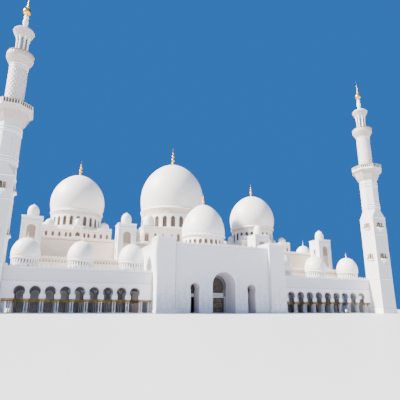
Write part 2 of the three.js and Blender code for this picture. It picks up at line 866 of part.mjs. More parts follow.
// The open lantern: a round seat, eight slim columns and the flared crown above them.
function minaretLantern(side) {
  const m = MINARET;
  const wide = m.lantern + m.columnRadius;
  const seatTop = m.balconyTwo + m.seatThick;
  const crownBottom = m.crownStart - m.lip;
  const crown = turned(
    [
      [0, crownBottom],
      [wide, crownBottom],
      [wide, m.crownStart],
      [m.crownRadius, m.crownWidest - m.lip],
      [m.crownRadius, m.crownWidest],
      [m.crownRadius * 0.4, m.crownTop],
      [0, m.crownTop],
    ],
    SHAFT_SEGMENTS,
  );
  let made = solidOf(cylinder(wide, m.balconyTwo, seatTop, SHAFT_SEGMENTS)).add(solidOf(crown));
  const post = cylinder(m.columnRadius, seatTop - CUT, crownBottom + CUT, 6);
  const r = m.lantern - m.columnRadius / 2;
  for (let i = 0; i < m.columns; i += 1) {
    const a = (FULL_TURN * i) / m.columns;
    made = made.add(solidOf(post.clone().translate(r * Math.cos(a), r * Math.sin(a), 0)));
  }
  return geometryOf(made.translate([side * m.x, m.y, 0]));
}

// The gilded neck, ball and tip of a minaret.
function minaretFinial(side) {
  const m = MINARET;
  const profile = outlined(MINARET_FINIAL_OUTLINE, MINARET_FINIAL_NECK, m.crownTop, m.tip);
  return turned(profile, TURRET_SEGMENTS).translate(side * m.x, m.y, 0);
}

function material(look) {
  return new THREE.MeshStandardMaterial(look);
}

const mosque = new THREE.Group();
mosque.position.y = -MIDDLE_Y;

function place(name, geometry, look) {
  const mesh = new THREE.Mesh(geometry, material(look));
  mesh.name = name;
  mosque.add(mesh);
}

place("floor_slab", floorSlab(), FLOORING);
place("portal_front_wall", portalFrontWall(), MARBLE);
place("portal_roof", portalRoof(), MARBLE);
place("entrance_vault", entranceVault(), MARBLE);
place("entrance_screen", entranceScreen(), MARBLE);
place("entrance_fanlight", entranceFanlight(), LATTICE);
place("entrance_dome", domeOnDrum(ENTRANCE_DOME, DOME_SEGMENTS, DOME_STEPS), SHELL);
place("entrance_finial", finial(ENTRANCE_DOME), GOLD);
place("hall_front_wall", hallFrontWall(), LIMESTONE);
place("hall_back_wall", hallBackWall(), LIMESTONE);
place("hall_roof", hallRoof(), LIMESTONE);
place("main_dome_block", domeBlock(MAIN_DOME, MAIN_BLOCK), LIMESTONE);
place("main_dome", domeOnDrum(MAIN_DOME, DOME_SEGMENTS, DOME_STEPS), SHELL);
place("main_finial", finial(MAIN_DOME), GOLD);

for (const side of [-1, 1]) {
  const name = sideName(side);
  const sideDome = { ...SIDE_DOME, x: side * SIDE_DOME.x };
  place(`${name}_portal_flank`, portalFlank(side), MARBLE);
  place(`${name}_portal_vault`, sideVault(side), MARBLE);
  place(`${name}_door_leaf`, doorLeaf(side), BRONZE);
  place(`${name}_arcade_wall`, arcadeWall(side), MARBLE);
  place(`${name}_arcade_columns`, arcadeColumns(side), MARBLE);
  place(`${name}_arcade_roof`, arcadeRoof(side), MARBLE);
  place(`${name}_gallery_wall`, galleryWall(side), LIMESTONE);
  place(`${name}_gallery_roof`, galleryRoof(side), LIMESTONE);
  place(`${name}_hall_side_wall`, hallSideWall(side), LIMESTONE);
  place(`${name}_dome_block`, domeBlock(sideDome, SIDE_BLOCK), LIMESTONE);
  place(`${name}_side_dome`, domeOnDrum(sideDome, DOME_SEGMENTS, DOME_STEPS), SHELL);
  place(`${name}_side_finial`, finial(sideDome), GOLD);
  place(`${name}_corner_dome`, cornerDome(side), SHELL);
  for (const [i, at] of ARCADE_DOME.places.entries()) {
    place(`${name}_arcade_dome_${i + 1}`, arcadeDome(side, at), SHELL);
  }
  for (const [i, at] of TOWER.places.entries()) {
    place(`${name}_${i === 0 ? "inner" : "outer"}_tower`, tower(side, at), LIMESTONE);
  }
  place(`${name}_minaret_lower_shaft`, minaretLowerShaft(side), MARBLE);
  place(`${name}_minaret_round_shaft`, minaretRoundShaft(side), MARBLE);
  place(`${name}_minaret_lantern`, minaretLantern(side), MARBLE);
  place(`${name}_minaret_finial`, minaretFinial(side), GOLD);
}

export default mosque;
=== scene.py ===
"""The looks of a large domed mosque, a model at one tenth of its size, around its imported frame.

Metres, +X to the right along the front, -Y towards the courtyard, +Z up. 0.1 here is one real metre.
"""

import json
import logging
import math
from collections.abc import Callable, Iterable, Sequence
from dataclasses import dataclass, field, replace
from enum import Enum

import bpy
import numpy as np
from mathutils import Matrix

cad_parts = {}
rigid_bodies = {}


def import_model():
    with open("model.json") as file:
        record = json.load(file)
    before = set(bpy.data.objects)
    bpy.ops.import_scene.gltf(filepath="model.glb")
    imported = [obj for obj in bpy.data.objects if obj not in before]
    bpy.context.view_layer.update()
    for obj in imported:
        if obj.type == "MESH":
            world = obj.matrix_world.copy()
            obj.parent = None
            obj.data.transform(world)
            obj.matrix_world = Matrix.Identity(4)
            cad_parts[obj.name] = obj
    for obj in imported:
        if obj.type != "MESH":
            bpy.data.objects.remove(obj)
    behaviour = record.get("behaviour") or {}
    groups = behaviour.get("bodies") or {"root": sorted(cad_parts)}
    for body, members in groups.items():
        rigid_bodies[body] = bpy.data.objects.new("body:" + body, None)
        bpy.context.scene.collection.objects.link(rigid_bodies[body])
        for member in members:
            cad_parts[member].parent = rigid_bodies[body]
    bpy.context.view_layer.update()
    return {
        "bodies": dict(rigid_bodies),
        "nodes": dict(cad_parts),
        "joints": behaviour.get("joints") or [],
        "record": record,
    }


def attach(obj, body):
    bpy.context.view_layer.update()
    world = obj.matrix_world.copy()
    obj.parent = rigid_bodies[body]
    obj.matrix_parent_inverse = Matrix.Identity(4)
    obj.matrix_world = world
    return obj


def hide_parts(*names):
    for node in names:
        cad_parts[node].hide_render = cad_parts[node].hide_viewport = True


Array = np.ndarray
Place = Callable[[Array], Array]
TAU = 2 * math.pi
SIDES = (("left", -1), ("right", 1))
LOG = logging.getLogger("mosque")


# Surfaces


@dataclass(frozen=True)
class Shell:
    """A surface: its points, its faces of four and of three corners, and their pattern coordinates."""

    points: Array
    quads: Array
    tris: Array
    quad_uv: Array
    tri_uv: Array

    def placed(self, place: Place) -> "Shell":
        """The same surface with its points carried to another place."""
        return replace(self, points=place(self.points))

    def facing_out(self) -> "Shell":
        """The same surface with its faces turned outwards, by the sign of the volume it encloses."""
        p, q = self.points, self.quads
        corners = np.concatenate([q[:, [0, 1, 2]], q[:, [0, 2, 3]], self.tris])
        a, b, c = (p[corners[:, k]] - p[0] for k in range(3))
        if np.einsum("ij,ij->", a, np.cross(b, c)) >= 0:
            return self
        return replace(
            self,
            quads=q[:, ::-1],
            tris=self.tris[:, ::-1],
            quad_uv=self.quad_uv[:, ::-1],
            tri_uv=self.tri_uv[:, ::-1],
        )


def loft(
    rows: Array,
    looped: bool = False,
    ends: tuple[Sequence[float], Sequence[float]] | None = None,
    across: Array | None = None,
    along: Array | None = None,
) -> Shell:
    """A surface P(i, j) whose columns close on themselves and whose ends are closed by fans.

    Args:
        rows: Points as (rows, columns, 3).
        looped: Whether the last row joins the first, which leaves no ends.
        ends: The middle points of the two end fans, or None for the middles of the end rows.
        across: Pattern coordinate at each column and once more at the end.
        along: Pattern coordinate at each row, and once more at the end of a looped surface.

    Returns:
        The closed surface.
    """
    m, n, _ = rows.shape
    index = np.arange(m * n).reshape(m, n)
    low = index if looped else index[:-1]
    high = np.roll(index, -1, 0) if looped else index[1:]
    quads = np.stack([low, np.roll(low, -1, 1), np.roll(high, -1, 1), high], -1).reshape(-1, 4)
    u = np.arange(n + 1) / n if across is None else across
    v = np.arange(m + 1) / m if along is None else along
    count = len(low)
    us = np.stack([u[:-1], u[1:], u[1:], u[:-1]], -1)
    vs = np.stack([v[:count], v[:count], v[1 : count + 1], v[1 : count + 1]], -1)
    uv = np.stack(np.broadcast_arrays(us[None], vs[:, None]), -1).reshape(-1, 4, 2)
    points = rows.reshape(-1, 3)
    if looped:
        return Shell(points, quads, np.empty((0, 3), int), uv, np.empty((0, 3, 2)))
    first, last = ends if ends is not None else (rows[0].mean(0), rows[-1].mean(0))
    points = np.vstack([points, first, last])
    start, stop = index[0], index[-1]
    centre = np.full(n, m * n)
    tris = np.vstack(
        [
            np.stack([centre, np.roll(start, -1), start], -1),
            np.stack([centre + 1, stop, np.roll(stop, -1)], -1),
        ]
    )
    mid = (u[:-1] + u[1:]) / 2
    low_uv = np.stack([np.stack([mid, np.full(n, v[0])], -1)] * 3, 1)
    high_uv = np.stack([np.stack([mid, np.full(n, v[m - 1])], -1)] * 3, 1)
    return Shell(points, quads, tris, uv, np.vstack([low_uv, high_uv]))


class Surface:
    """A mesh in the making, put together from surfaces."""

    def __init__(self) -> None:
        """Starts with nothing in it."""
        self.shells: list[Shell] = []

    def add(self, shell: Shell, place: Place | None = None) -> "Surface":
        """Adds a closed surface, turned outwards after it is carried to its place."""
        self.shells.append((shell.placed(place) if place else shell).facing_out())
        return self

    def piece(
        self,
        name: str,
        finish: "Finish",
        body: str = "building",
        replaces: Iterable[str] = (),
        crease: float = 35.0,
    ) -> bpy.types.Object:
        """Makes the mesh and its object, with its finish, its body and the nodes it stands for.

        Args:
            name: The name of the piece.
            finish: The finish that covers it.
            body: The body that it rides on.
            replaces: The nodes of the frame that it stands for.
            crease: The angle in degrees past which an edge shows as a crease.

        Returns:
            The new object, at the origin.
        """
        mesh = bpy.data.meshes.new(name)
        offsets = np.cumsum([0] + [len(s.points) for s in self.shells])
        points = np.vstack([s.points for s in self.shells])
        quads = np.vstack([s.quads + o for s, o in zip(self.shells, offsets)])
        tris = np.vstack([s.tris + o for s, o in zip(self.shells, offsets)])
        corners = np.concatenate([quads.ravel(), tris.ravel()])
        starts = np.concatenate([np.arange(len(quads)) * 4, quads.size + np.arange(len(tris)) * 3])
        uv = np.concatenate(
            [np.vstack([s.quad_uv for s in self.shells]).ravel()]
            + [np.vstack([s.tri_uv for s in self.shells]).ravel()]
        )
        mesh.vertices.add(len(points))
        mesh.vertices.foreach_set("co", points.astype(np.float32).ravel())
        mesh.loops.add(len(corners))
        mesh.loops.foreach_set("vertex_index", corners.astype(np.int32))
        mesh.polygons.add(len(starts))
        mesh.polygons.foreach_set("loop_start", starts.astype(np.int32))
        mesh.update(calc_edges=True)
        layer = mesh.uv_layers.new(name="UVMap")
        layer.data.foreach_set("uv", uv.astype(np.float32))
        mesh.validate()
        mesh.shade_smooth()
        mesh.set_sharp_from_angle(angle=math.radians(crease))
        mesh.materials.append(finish.value.material())
        made = bpy.data.objects.new(name, mesh)
        bpy.context.scene.collection.objects.link(made)
        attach(made, body)
        if replaces:
            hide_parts(*replaces)
        LOG.info("%s: %d faces", name, len(starts))
        return made


# Places


@dataclass(frozen=True)
class Face:
    """An upright plane. A point's numbers are its way to the right, how far it stands out, its height."""

    x: float
    y: float
    angle: float = 0.0
    reach: float = 0.0

    def __call__(self, points: Array) -> Array:
        """Turns (right, out, up) by the face's angle and moves it to the face."""
        u, d, z = points[..., 0], points[..., 1] + self.reach, points[..., 2]
        c, s = math.cos(self.angle), math.sin(self.angle)
        return np.stack([self.x + u * c + d * s, self.y + u * s - d * c, z], -1)


@dataclass(frozen=True)
class Round:
    """An upright cylinder: the way to the right runs around it, as right / radius of a turn."""

    x: float
    y: float
    radius: float
    angle: float = 0.0

    def __call__(self, points: Array) -> Array:
        """Wraps (right, out, up) around the axis, with angle 0 facing -Y."""
        turn = self.angle + points[..., 0] / self.radius
        r = self.radius + points[..., 1]
        return np.stack([self.x + r * np.sin(turn), self.y - r * np.cos(turn), points[..., 2]], -1)


def box_faces(x: float, y: float, half_x: float, half_y: float) -> list[tuple[Face, float]]:
    """The four upright faces of a box around (x, y), each with its own half width."""
    quarter = TAU / 4
    return [
        (Face(x, y, quarter * k, half_y if k % 2 == 0 else half_x), half_x if k % 2 == 0 else half_y)
        for k in range(4)
    ]


# Outlines and profiles


class Head(Enum):
    """How the head of an opening is drawn."""

    ROUND = "round"
    POINTED = "pointed"
    HORSESHOE = "horseshoe"


def arch_line(half: float, bottom: float, spring: float, top: float, head: Head, steps: int) -> Array:
    """The line of an opening from its right foot over its head to its left foot, as (right, up).

    Round: half an ellipse, (half cos a, spring + rise sin a). Pointed: the same with the cosine
    raised to a power, which sharpens the crown. Horseshoe: a circle of radius (top - spring) about
    the spring, run down on both sides until it is as narrow as the jambs.

    Args:
        half: Half the width between the jambs.
        bottom: Height of the feet.
        spring: Height where the head starts, or the centre of a horseshoe.
        top: Height of the crown.
        head: The shape of the head.
        steps: The number of stretches in the head.

    Returns:
        The points of the line.
    """
    rise = top - spring
    if head is Head.HORSESHOE:
        below = math.acos(min(1.0, half / rise))
        a = np.linspace(-below, math.pi + below, steps + 1)
        arc = np.stack([rise * np.cos(a), spring + rise * np.sin(a)], -1)
    else:
        a = np.linspace(0, math.pi, steps + 1)
        power = 1.35 if head is Head.POINTED else 1.0
        c = np.cos(a)
        arc = np.stack([half * np.sign(c) * np.abs(c) ** power, spring + rise * np.sin(a)], -1)
    return np.vstack([[half, bottom], arc, [-half, bottom]])


def window_line(half: float, sill: float, top: float, steps: int = 6) -> Array:
    """The closed line of a window with a slightly pointed head."""
    return arch_line(half, sill, top - 1.15 * half, top, Head.POINTED, steps)


def outwards(line: Array, closed: bool) -> Array:
    """The mitred normals of a line, to the right of its way: the sum of two sides' normals, scaled."""
    step = np.diff(np.vstack([line, line[:1]]) if closed else line, axis=0)
    step = step / np.maximum(np.linalg.norm(step, axis=1, keepdims=True), 1e-9)
    side = np.stack([step[:, 1], -step[:, 0]], -1)
    before = np.roll(side, 1, 0) if closed else np.vstack([side[:1], side])
    after = side if closed else np.vstack([side, side[-1:]])
    total = before + after
    return total / np.maximum(1 + np.einsum("ij,ij->i", before, after), 0.4)[:, None]


def moulding(line: Array, profile: Sequence[Sequence[float]], closed: bool = False) -> Shell:
    """A profile carried along a line on a face: P(i, j) = line(i) + a(j) normal(i), out by d(j).

    Args:
        line: The line as (right, up).
        profile: Closed profile as (away from the line, out of the face).
        closed: Whether the line comes back to its start.

    Returns:
        The moulding in the face's own numbers.
    """
    shape = np.asarray(profile, float)
    normal = outwards(line, closed)
    flat = line[:, None, :] + shape[None, :, :1] * normal[:, None, :]
    depth = np.broadcast_to(shape[None, :, 1], flat.shape[:2])
    return loft(np.stack([flat[..., 0], depth, flat[..., 1]], -1), looped=closed)


def plate(line: Array, near: float, far: float) -> Shell:
    """A flat plate with a closed outline, between two distances out of the face."""
    rows = np.stack([np.stack([line[:, 0], np.full(len(line), d), line[:, 1]], -1) for d in (near, far)])
    return loft(rows)


def bar(start: Sequence[float], stop: Sequence[float], width: float, near: float, far: float) -> Shell:
    """A straight bar on a face between two points, with a rectangular section."""
    h = width / 2
    return moulding(np.array([start, stop], float), [(-h, near), (h, near), (h, far), (-h, far)])


def ledge(u0: float, u1: float, z: float, profile: Sequence[Sequence[float]]) -> Shell:
    """A straight moulding along a face at one height; the profile is (out, up)."""
    shape = np.asarray(profile, float)
    rows = [np.stack([np.full(len(shape), u), shape[:, 0], z + shape[:, 1]], -1) for u in (u0, u1)]
    return loft(np.stack(rows))


def belt(half_x: float, half_y: float, z: float, profile: Sequence[Sequence[float]]) -> Shell:
    """A moulding around a box about the origin: P = corner + out (sign x, sign y), raised by up."""
    shape = np.asarray(profile, float)
    corners = np.array([[-1, -1], [1, -1], [1, 1], [-1, 1]], float)
    base = corners * [half_x, half_y]
    flat = base[:, None, :] + shape[None, :, :1] * corners[:, None, :]
    height = np.broadcast_to(z + shape[None, :, 1], flat.shape[:2])
    return loft(np.concatenate([flat, height[..., None]], -1), looped=True)


def moved(x: float, y: float) -> Place:
    """A place that only shifts its points."""
    return lambda points: points + np.array([x, y, 0.0])


def lathe(profile: Sequence[Sequence[float]], count: int, ring: bool = False) -> Shell:
    """A profile turned about the axis: P(i, j) = (r(i) sin t, -r(i) cos t, z(i)), t = j / count of a turn.

    Args:
        profile: The profile as (radius, height).
        count: The number of columns in a turn.
        ring: Whether the profile closes on itself, off the axis.

    Returns:
        The turned surface about the origin.
    """
    shape = np.asarray(profile, float)
    first, last = (0.0, 0.0, shape[0, 1]), (0.0, 0.0, shape[-1, 1])
    if not ring:
        shape = shape[1:] if shape[0, 0] < 1e-6 else shape
        shape = shape[:-1] if shape[-1, 0] < 1e-6 else shape
    t = np.arange(count) / count * TAU
    r, z = shape[:, :1], shape[:, 1:]
    rows = np.stack(np.broadcast_arrays(r * np.sin(t), -r * np.cos(t), z + 0 * t), -1)
    step = np.linalg.norm(np.diff(shape, axis=0, append=shape[:1]), axis=1)
    along = np.concatenate([[0], np.cumsum(step)])
    across = np.arange(count + 1) / count * TAU * shape[:, 0].max()
    return loft(rows, looped=ring, ends=None if ring else (first, last), across=across, along=along)


def staff(size: float, r: float = 0.35) -> list[tuple[float, float]]:
    """A half-round profile of one size, closed by its flat back, as (out, up)."""
    a = np.linspace(-math.pi / 2, math.pi / 2, 6)
    round_part = [(size * math.cos(t), size * (1 + math.sin(t)) / 2) for t in a]
    return [(-size * r, 0.0), *round_part, (-size * r, size)]


def cornice(out: float, tall: float) -> list[tuple[float, float]]:
    """A cornice profile as (out, up): a fillet, a hollow that swings out, and a square crown."""
    a = np.linspace(0, math.pi / 2, 5)
    hollow = [(out * (0.2 + 0.6 * (1 - math.cos(t))), tall * (0.2 + 0.45 * math.sin(t))) for t in a]
    crown = [(out, tall * 0.68), (out, tall), (-0.2 * out, tall)]
    return [(-0.2 * out, 0.0), (out * 0.2, 0.0), *hollow, *crown]


def merlon(width: float, height: float) -> Array:
    """The closed outline of a small stepped merlon with a pointed leaf on top."""
    w = width / 2
    right = [(w, 0), (w, 0.3), (0.72 * w, 0.42), (0.72 * w, 0.62), (0.36 * w, 0.74), (0, 1)]
    points = [(u, t * height) for u, t in right] + [(-u, t * height) for u, t in right[-2::-1]]
    return np.array(points)


def crest(surface: Surface, place: Place, u0: float, u1: float, z: float, pitch: float) -> None:
    """Stands a row of merlons on a face's top edge, evenly spaced between two places."""
    count = max(1, round((u1 - u0) / pitch))
    step = (u1 - u0) / count
    shape = merlon(step * 0.78, pitch * 0.75)
    for k in range(count):
        line = shape + [u0 + step * (k + 0.5), z]
        surface.add(plate(line, -0.022, -0.006), place)


# Shaders


class Value:
    """One number of a shader. Arithmetic on it adds Math nodes."""

    def __init__(self, shader: "Shader", socket: bpy.types.NodeSocket) -> None:
        """Wraps a socket of the shader's tree."""
        self.shader = shader
        self.socket = socket

    def __add__(self, other: "Value | float") -> "Value":
        """Sum."""
        return self.shader.math("ADD", self, other)

    __radd__ = __add__

    def __mul__(self, other: "Value | float") -> "Value":
        """Product."""
        return self.shader.math("MULTIPLY", self, other)

    __rmul__ = __mul__

    def __sub__(self, other: "Value | float") -> "Value":
        """Difference."""
        return self.shader.math("SUBTRACT", self, other)

    def __rsub__(self, other: float) -> "Value":
        """Difference, the other way round."""
        return self.shader.math("SUBTRACT", other, self)

    def __truediv__(self, other: "Value | float") -> "Value":
        """Quotient."""
        return self.shader.math("DIVIDE", self, other)

    def __abs__(self) -> "Value":
        """Size without its sign."""
        return self.shader.math("ABSOLUTE", self)

    def __gt__(self, other: "Value | float") -> "Value":
        """1 where it is the greater, else 0."""
        return self.shader.math("GREATER_THAN", self, other)

    def part(self) -> "Value":
        """What is left after the whole number below."""
        return self.shader.math("FRACT", self)

    def floor(self) -> "Value":
        """The whole number below."""
        return self.shader.math("FLOOR", self)

    def least(self, other: "Value | float") -> "Value":
        """The smaller of the two."""
        return self.shader.math("MINIMUM", self, other)

    def edge(self) -> "Value":
        """The distance from a cell's nearer border, for a number that counts cells."""
        fraction = self.part()
        return fraction.least(1 - fraction)

    def between(self, low: float, high: float) -> "Value":
        """0 below the low end and 1 above the high end, smooth in between."""
        node = self.shader.node(
            "ShaderNodeMapRange",
            {"interpolation_type": "SMOOTHSTEP", "clamp": True},
            {"Value": self, "From Min": low, "From Max": high},
        )
        return Value(self.shader, node.outputs["Result"])


Input = Value | float | Sequence[float] | bpy.types.NodeSocket


class Shader:
    """A material's node tree with one surface shader."""

    def __init__(self, name: str) -> None:
        """Starts an empty material of that name."""
        self.material = bpy.data.materials.new(name)
        self.material.use_nodes = True
        self.tree = self.material.node_tree
        self.tree.nodes.clear()
        self.output = self.node("ShaderNodeOutputMaterial")
        self.surface = self.node("ShaderNodeBsdfPrincipled")
        self.tree.links.new(self.surface.outputs[0], self.output.inputs["Surface"])

    def node(
        self,
        kind: str,
        settings: dict[str, object] | None = None,
        inputs: dict[str | int, Input] | None = None,
    ) -> bpy.types.Node:
        """Adds any node.

        Args:
            kind: The node's type.
            settings: Its settings, set first.
            inputs: Its sockets' values or links.

        Returns:
            The new node.
        """
        made = self.tree.nodes.new(kind)
        for key, value in (settings or {}).items():
            setattr(made, key, value)
        for key, value in (inputs or {}).items():
            self.feed(made.inputs[key], value)
        return made

    def feed(self, socket: bpy.types.NodeSocket, value: Input) -> None:
        """Links or sets a socket."""
        if isinstance(value, Value):
            self.tree.links.new(value.socket, socket)
        elif isinstance(value, bpy.types.NodeSocket):
            self.tree.links.new(value, socket)
        else:
            socket.default_value = value

    def math(self, operation: str, *operands: Value | float) -> Value:
        """One Math node on values and numbers."""
        node = self.node("ShaderNodeMath", {"operation": operation}, dict(enumerate(operands)))
        return Value(self, node.outputs[0])

    def split(self, vector: bpy.types.NodeSocket) -> tuple[Value, Value, Value]:
        """The three numbers of a vector."""
        node = self.node("ShaderNodeSeparateXYZ", inputs={0: vector})
        return tuple(Value(self, socket) for socket in node.outputs)

    def join(self, x: Value | float, y: Value | float, z: Value | float) -> bpy.types.NodeSocket:
        """A vector of three numbers."""
        return self.node("ShaderNodeCombineXYZ", inputs={0: x, 1: y, 2: z}).outputs[0]

    def mix(self, factor: Value | float, first: Input, second: Input) -> bpy.types.NodeSocket:
        """A colour between two colours."""
        node = self.node("ShaderNodeMix", {"data_type": "RGBA"}, {0: factor, 6: first, 7: second})
        return node.outputs[2]

    def noise(self, vector: bpy.types.NodeSocket, scale: float, detail: float = 3.0) -> Value:
        """Soft noise from 0 to 1."""
        settings = {"Vector": vector, "Scale": scale, "Detail": detail}
        return Value(self, self.node("ShaderNodeTexNoise", inputs=settings).outputs[0])

    def chance(self, x: Value, y: Value, seed: float) -> Value:
        """A steady random number for each cell."""
        node = self.node("ShaderNodeTexWhiteNoise", inputs={"Vector": self.join(x, y, seed)})
        return Value(self, node.outputs["Value"])

    def place(self) -> bpy.types.NodeSocket:
        """Where a point is on its piece."""
        return self.node("ShaderNodeTexCoord").outputs["Object"]

    def wall(self) -> tuple[Value, Value]:
        """The way along an upright wall and the height, or the plan on a level surface."""
        coordinates = self.node("ShaderNodeTexCoord")
        x, y, z = self.split(coordinates.outputs["Object"])
        nx, ny, nz = self.split(coordinates.outputs["Normal"])
        sideways = abs(nx) > abs(ny)
        level = abs(nz) > 0.7
        along = x + (y - x) * sideways * (1 - level)
        return along, z + (y - z) * level

    def unrolled(self) -> tuple[Value, Value]:
        """The pattern coordinates of a turned surface."""
        u, v, _ = self.split(self.node("ShaderNodeTexCoord").outputs["UV"])
        return u, v

    def bump(self, height: Value, strength: float, distance: float) -> None:
        """Lets a height stand in the surface's normal."""
        inputs = {"Height": height, "Strength": strength, "Distance": distance}
        node = self.node("ShaderNodeBump", inputs=inputs)
        self.feed(self.surface.inputs["Normal"], node.outputs[0])

    def finish(self, **inputs: Input) -> bpy.types.Material:
        """Feeds the surface shader, with _ for a space in a socket's name."""
        for key, value in inputs.items():
            self.feed(self.surface.inputs[key.replace("_", " ")], value)
        return self.material


Colour = tuple[float, float, float, float]


def shade(colour: Colour, by: float) -> Colour:
    """A colour made lighter or darker by a factor."""
    return (colour[0] * by, colour[1] * by, colour[2] * by, 1.0)


class Mapping(Enum):
    """How a slab pattern lies on a surface."""

    WALL = "wall"
    UNROLLED = "unrolled"


@dataclass(frozen=True)
class SlabStone:
    """Honed stone slabs in courses, each a little different, with fine joints and faint veins."""

    name: str
    slot: str
    colour: Colour
    tint: Colour
    width: float
    height: float
    joint: float = 0.0012
    contrast: float = 0.5
    roughness: float = 0.42
    mapping: Mapping = Mapping.WALL
    grey_above: float = 0.0

    def material(self) -> bpy.types.Material:
        """The material, made once: slabs half a width apart in every second course."""
        if found := bpy.data.materials.get(self.name):
            return found
        s = Shader(self.name)
        u, v = s.wall() if self.mapping is Mapping.WALL else s.unrolled()
        row = v / self.height
        count = u / self.width + (row.floor() * 0.5).part()
        gap = (count.edge() * self.width).least(row.edge() * self.height)
        joint = 1 - gap.between(self.joint * 0.4, self.joint)
        slab = s.chance(count.floor(), row.floor(), 3.0)
        place = s.place()
        cloud = s.noise(place, 1.7, 4.0)
        vein = 1 - abs(s.noise(place, 6.0, 6.0) - 0.5).between(0.0, 0.035)
        tone = (slab * 0.45 + cloud * 0.7 - 0.1) * self.contrast
        body = s.mix(tone, self.colour, self.tint)
        if self.grey_above:
            upper = s.split(place)[2] > self.grey_above
            body = s.mix(upper * 0.75, body, shade(self.tint, 0.88))
        veined = s.mix(vein * 0.16 * self.contrast, body, shade(self.tint, 0.72))
        grain = s.noise(place, 90.0, 2.0)
        s.bump(grain * 0.15 - joint, 0.35, self.joint)
        return s.finish(
            Base_Color=s.mix(joint * 0.45, veined, shade(self.tint, 0.62)),
            Roughness=slab * 0.1 + cloud * 0.12 + (self.roughness - 0.1) + joint * 0.3,
        )


@dataclass(frozen=True)
class CarvedStone:
    """Stone cut with a net of crossing lines, painted darker in its hollows as their shade; in a pierced screen
    the hollows stand for the dark behind its holes.
    """

    name: str
    slot: str
    colour: Colour
    hollow: Colour
    cell: float
    mapping: Mapping = Mapping.WALL

    def material(self) -> bpy.types.Material:
        """The material: lines along four directions make eight-pointed stars and crosses."""
        if found := bpy.data.materials.get(self.name):
            return found
        s = Shader(self.name)
        u, v = s.wall() if self.mapping is Mapping.WALL else s.unrolled()
        a, b = u / self.cell, v / self.cell
        straight = (a.edge()).least(b.edge())
        slanted = ((a + b) * 0.5 + 0.25).edge().least(((a - b) * 0.5 + 0.25).edge()) * 1.41
        line = 1 - straight.least(slanted).between(0.07, 0.12)
        cloud = s.noise(s.place(), 3.0, 3.0)
        s.bump(line + cloud * 0.1, 0.8, 0.004)
        raised = s.mix(cloud * 0.5, self.colour, shade(self.colour, 0.93))
        # Painted shade: the cut lines take the dark hollow colour.
        return s.finish(
            Base_Color=s.mix(line, self.hollow, raised),
            Roughness=0.62 - line * 0.16,
        )


@dataclass(frozen=True)
class Gilding:
    """Gold leaf or bronze, cloudy, with rubbed and brighter places."""

    name: str
    slot: str
    colour: Colour
    dull: Colour
    roughness: float
    metal: float = 1.0

    def material(self) -> bpy.types.Material:
        """The material: two tones mixed by soft noise."""
        if found := bpy.data.materials.get(self.name):
            return found
        s = Shader(self.name)
        place = s.place()
        cloud = s.noise(place, 9.0, 4.0)
        fine = s.noise(place, 160.0, 2.0)
        s.bump(fine + cloud, 0.12, 0.002)
        return s.finish(
            Base_Color=s.mix(cloud.between(0.3, 0.7), self.colour, self.dull),
            Roughness=cloud * 0.2 + (self.roughness - 0.1) + fine * 0.06,
            Metallic=self.metal,
        )


@dataclass(frozen=True)
class Glazing:
    """Dark window glass behind a screen, a little uneven, with leaded panes."""

    name: str
    slot: str
    colour: Colour
    light: Colour
    pane: float

    def material(self) -> bpy.types.Material:
        """The material: each small pane has its own depth of colour."""
        if found := bpy.data.materials.get(self.name):
            return found
        s = Shader(self.name)
        u, v = s.wall()
        a, b = u / self.pane, v / self.pane
        pane = s.chance(a.floor(), b.floor(), 7.0)
        lead = 1 - a.edge().least(b.edge()).between(0.03, 0.07)
        wave = s.noise(s.place(), 30.0, 2.0)
        s.bump(wave + lead * 0.6, 0.25, 0.002)
        glass = s.mix(pane * 0.8, self.colour, self.light)
        return s.finish(
            Base_Color=s.mix(lead, glass, shade(self.colour, 0.5)),
            Roughness=pane * 0.12 + 0.14 + lead * 0.4,
            Coat_Weight=0.4,
        )


@dataclass(frozen=True)
class InlaidStone:
    """White stone with small inlaid leaves and stems of coloured stone around it."""

    name: str
    slot: str
    colour: Colour
    leaf: Colour
    flower: Colour
    cell: float

    def material(self) -> bpy.types.Material:
        """The material: in each cell a stem, and in most a leaf and a flower, drawn as distances."""
        if found := bpy.data.materials.get(self.name):
            return found
        s = Shader(self.name)
        u, v = s.unrolled()
        a, b = u / self.cell, v / self.cell
        pick = s.chance(a.floor(), b.floor(), 11.0)
        x, y = a.part() - 0.5, b.part() - 0.5
        stem = 1 - abs(x - (y * 2.0) * abs(y)).between(0.03, 0.06)
        bloom = 1 - (x * x + y * y).between(0.03, 0.05)
        leaf = 1 - (abs(x - y * 0.6) + abs(y - 0.22) * 0.6).between(0.1, 0.16)
        cloud = s.noise(s.place(), 40.0, 3.0)
        base = s.mix(cloud * 0.5, self.colour, shade(self.colour, 0.93))
        stems = s.mix(stem * 0.7, base, self.leaf)
        leaves = s.mix(leaf * (pick > 0.4) * 0.8, stems, self.leaf)
        return s.finish(
            Base_Color=s.mix(bloom * (pick > 0.2) * 0.85, leaves, self.flower),
            Roughness=cloud * 0.1 + 0.22,
        )


MARBLE_WHITE = (0.86, 0.86, 0.855, 1.0)
MARBLE_TINT = (0.74, 0.745, 0.755, 1.0)
DOME_WHITE = (0.835, 0.805, 0.76, 1.0)
DOME_TINT = (0.75, 0.72, 0.67, 1.0)
CREAM = (0.86, 0.745, 0.625, 1.0)
CREAM_TINT = (0.76, 0.64, 0.52, 1.0)


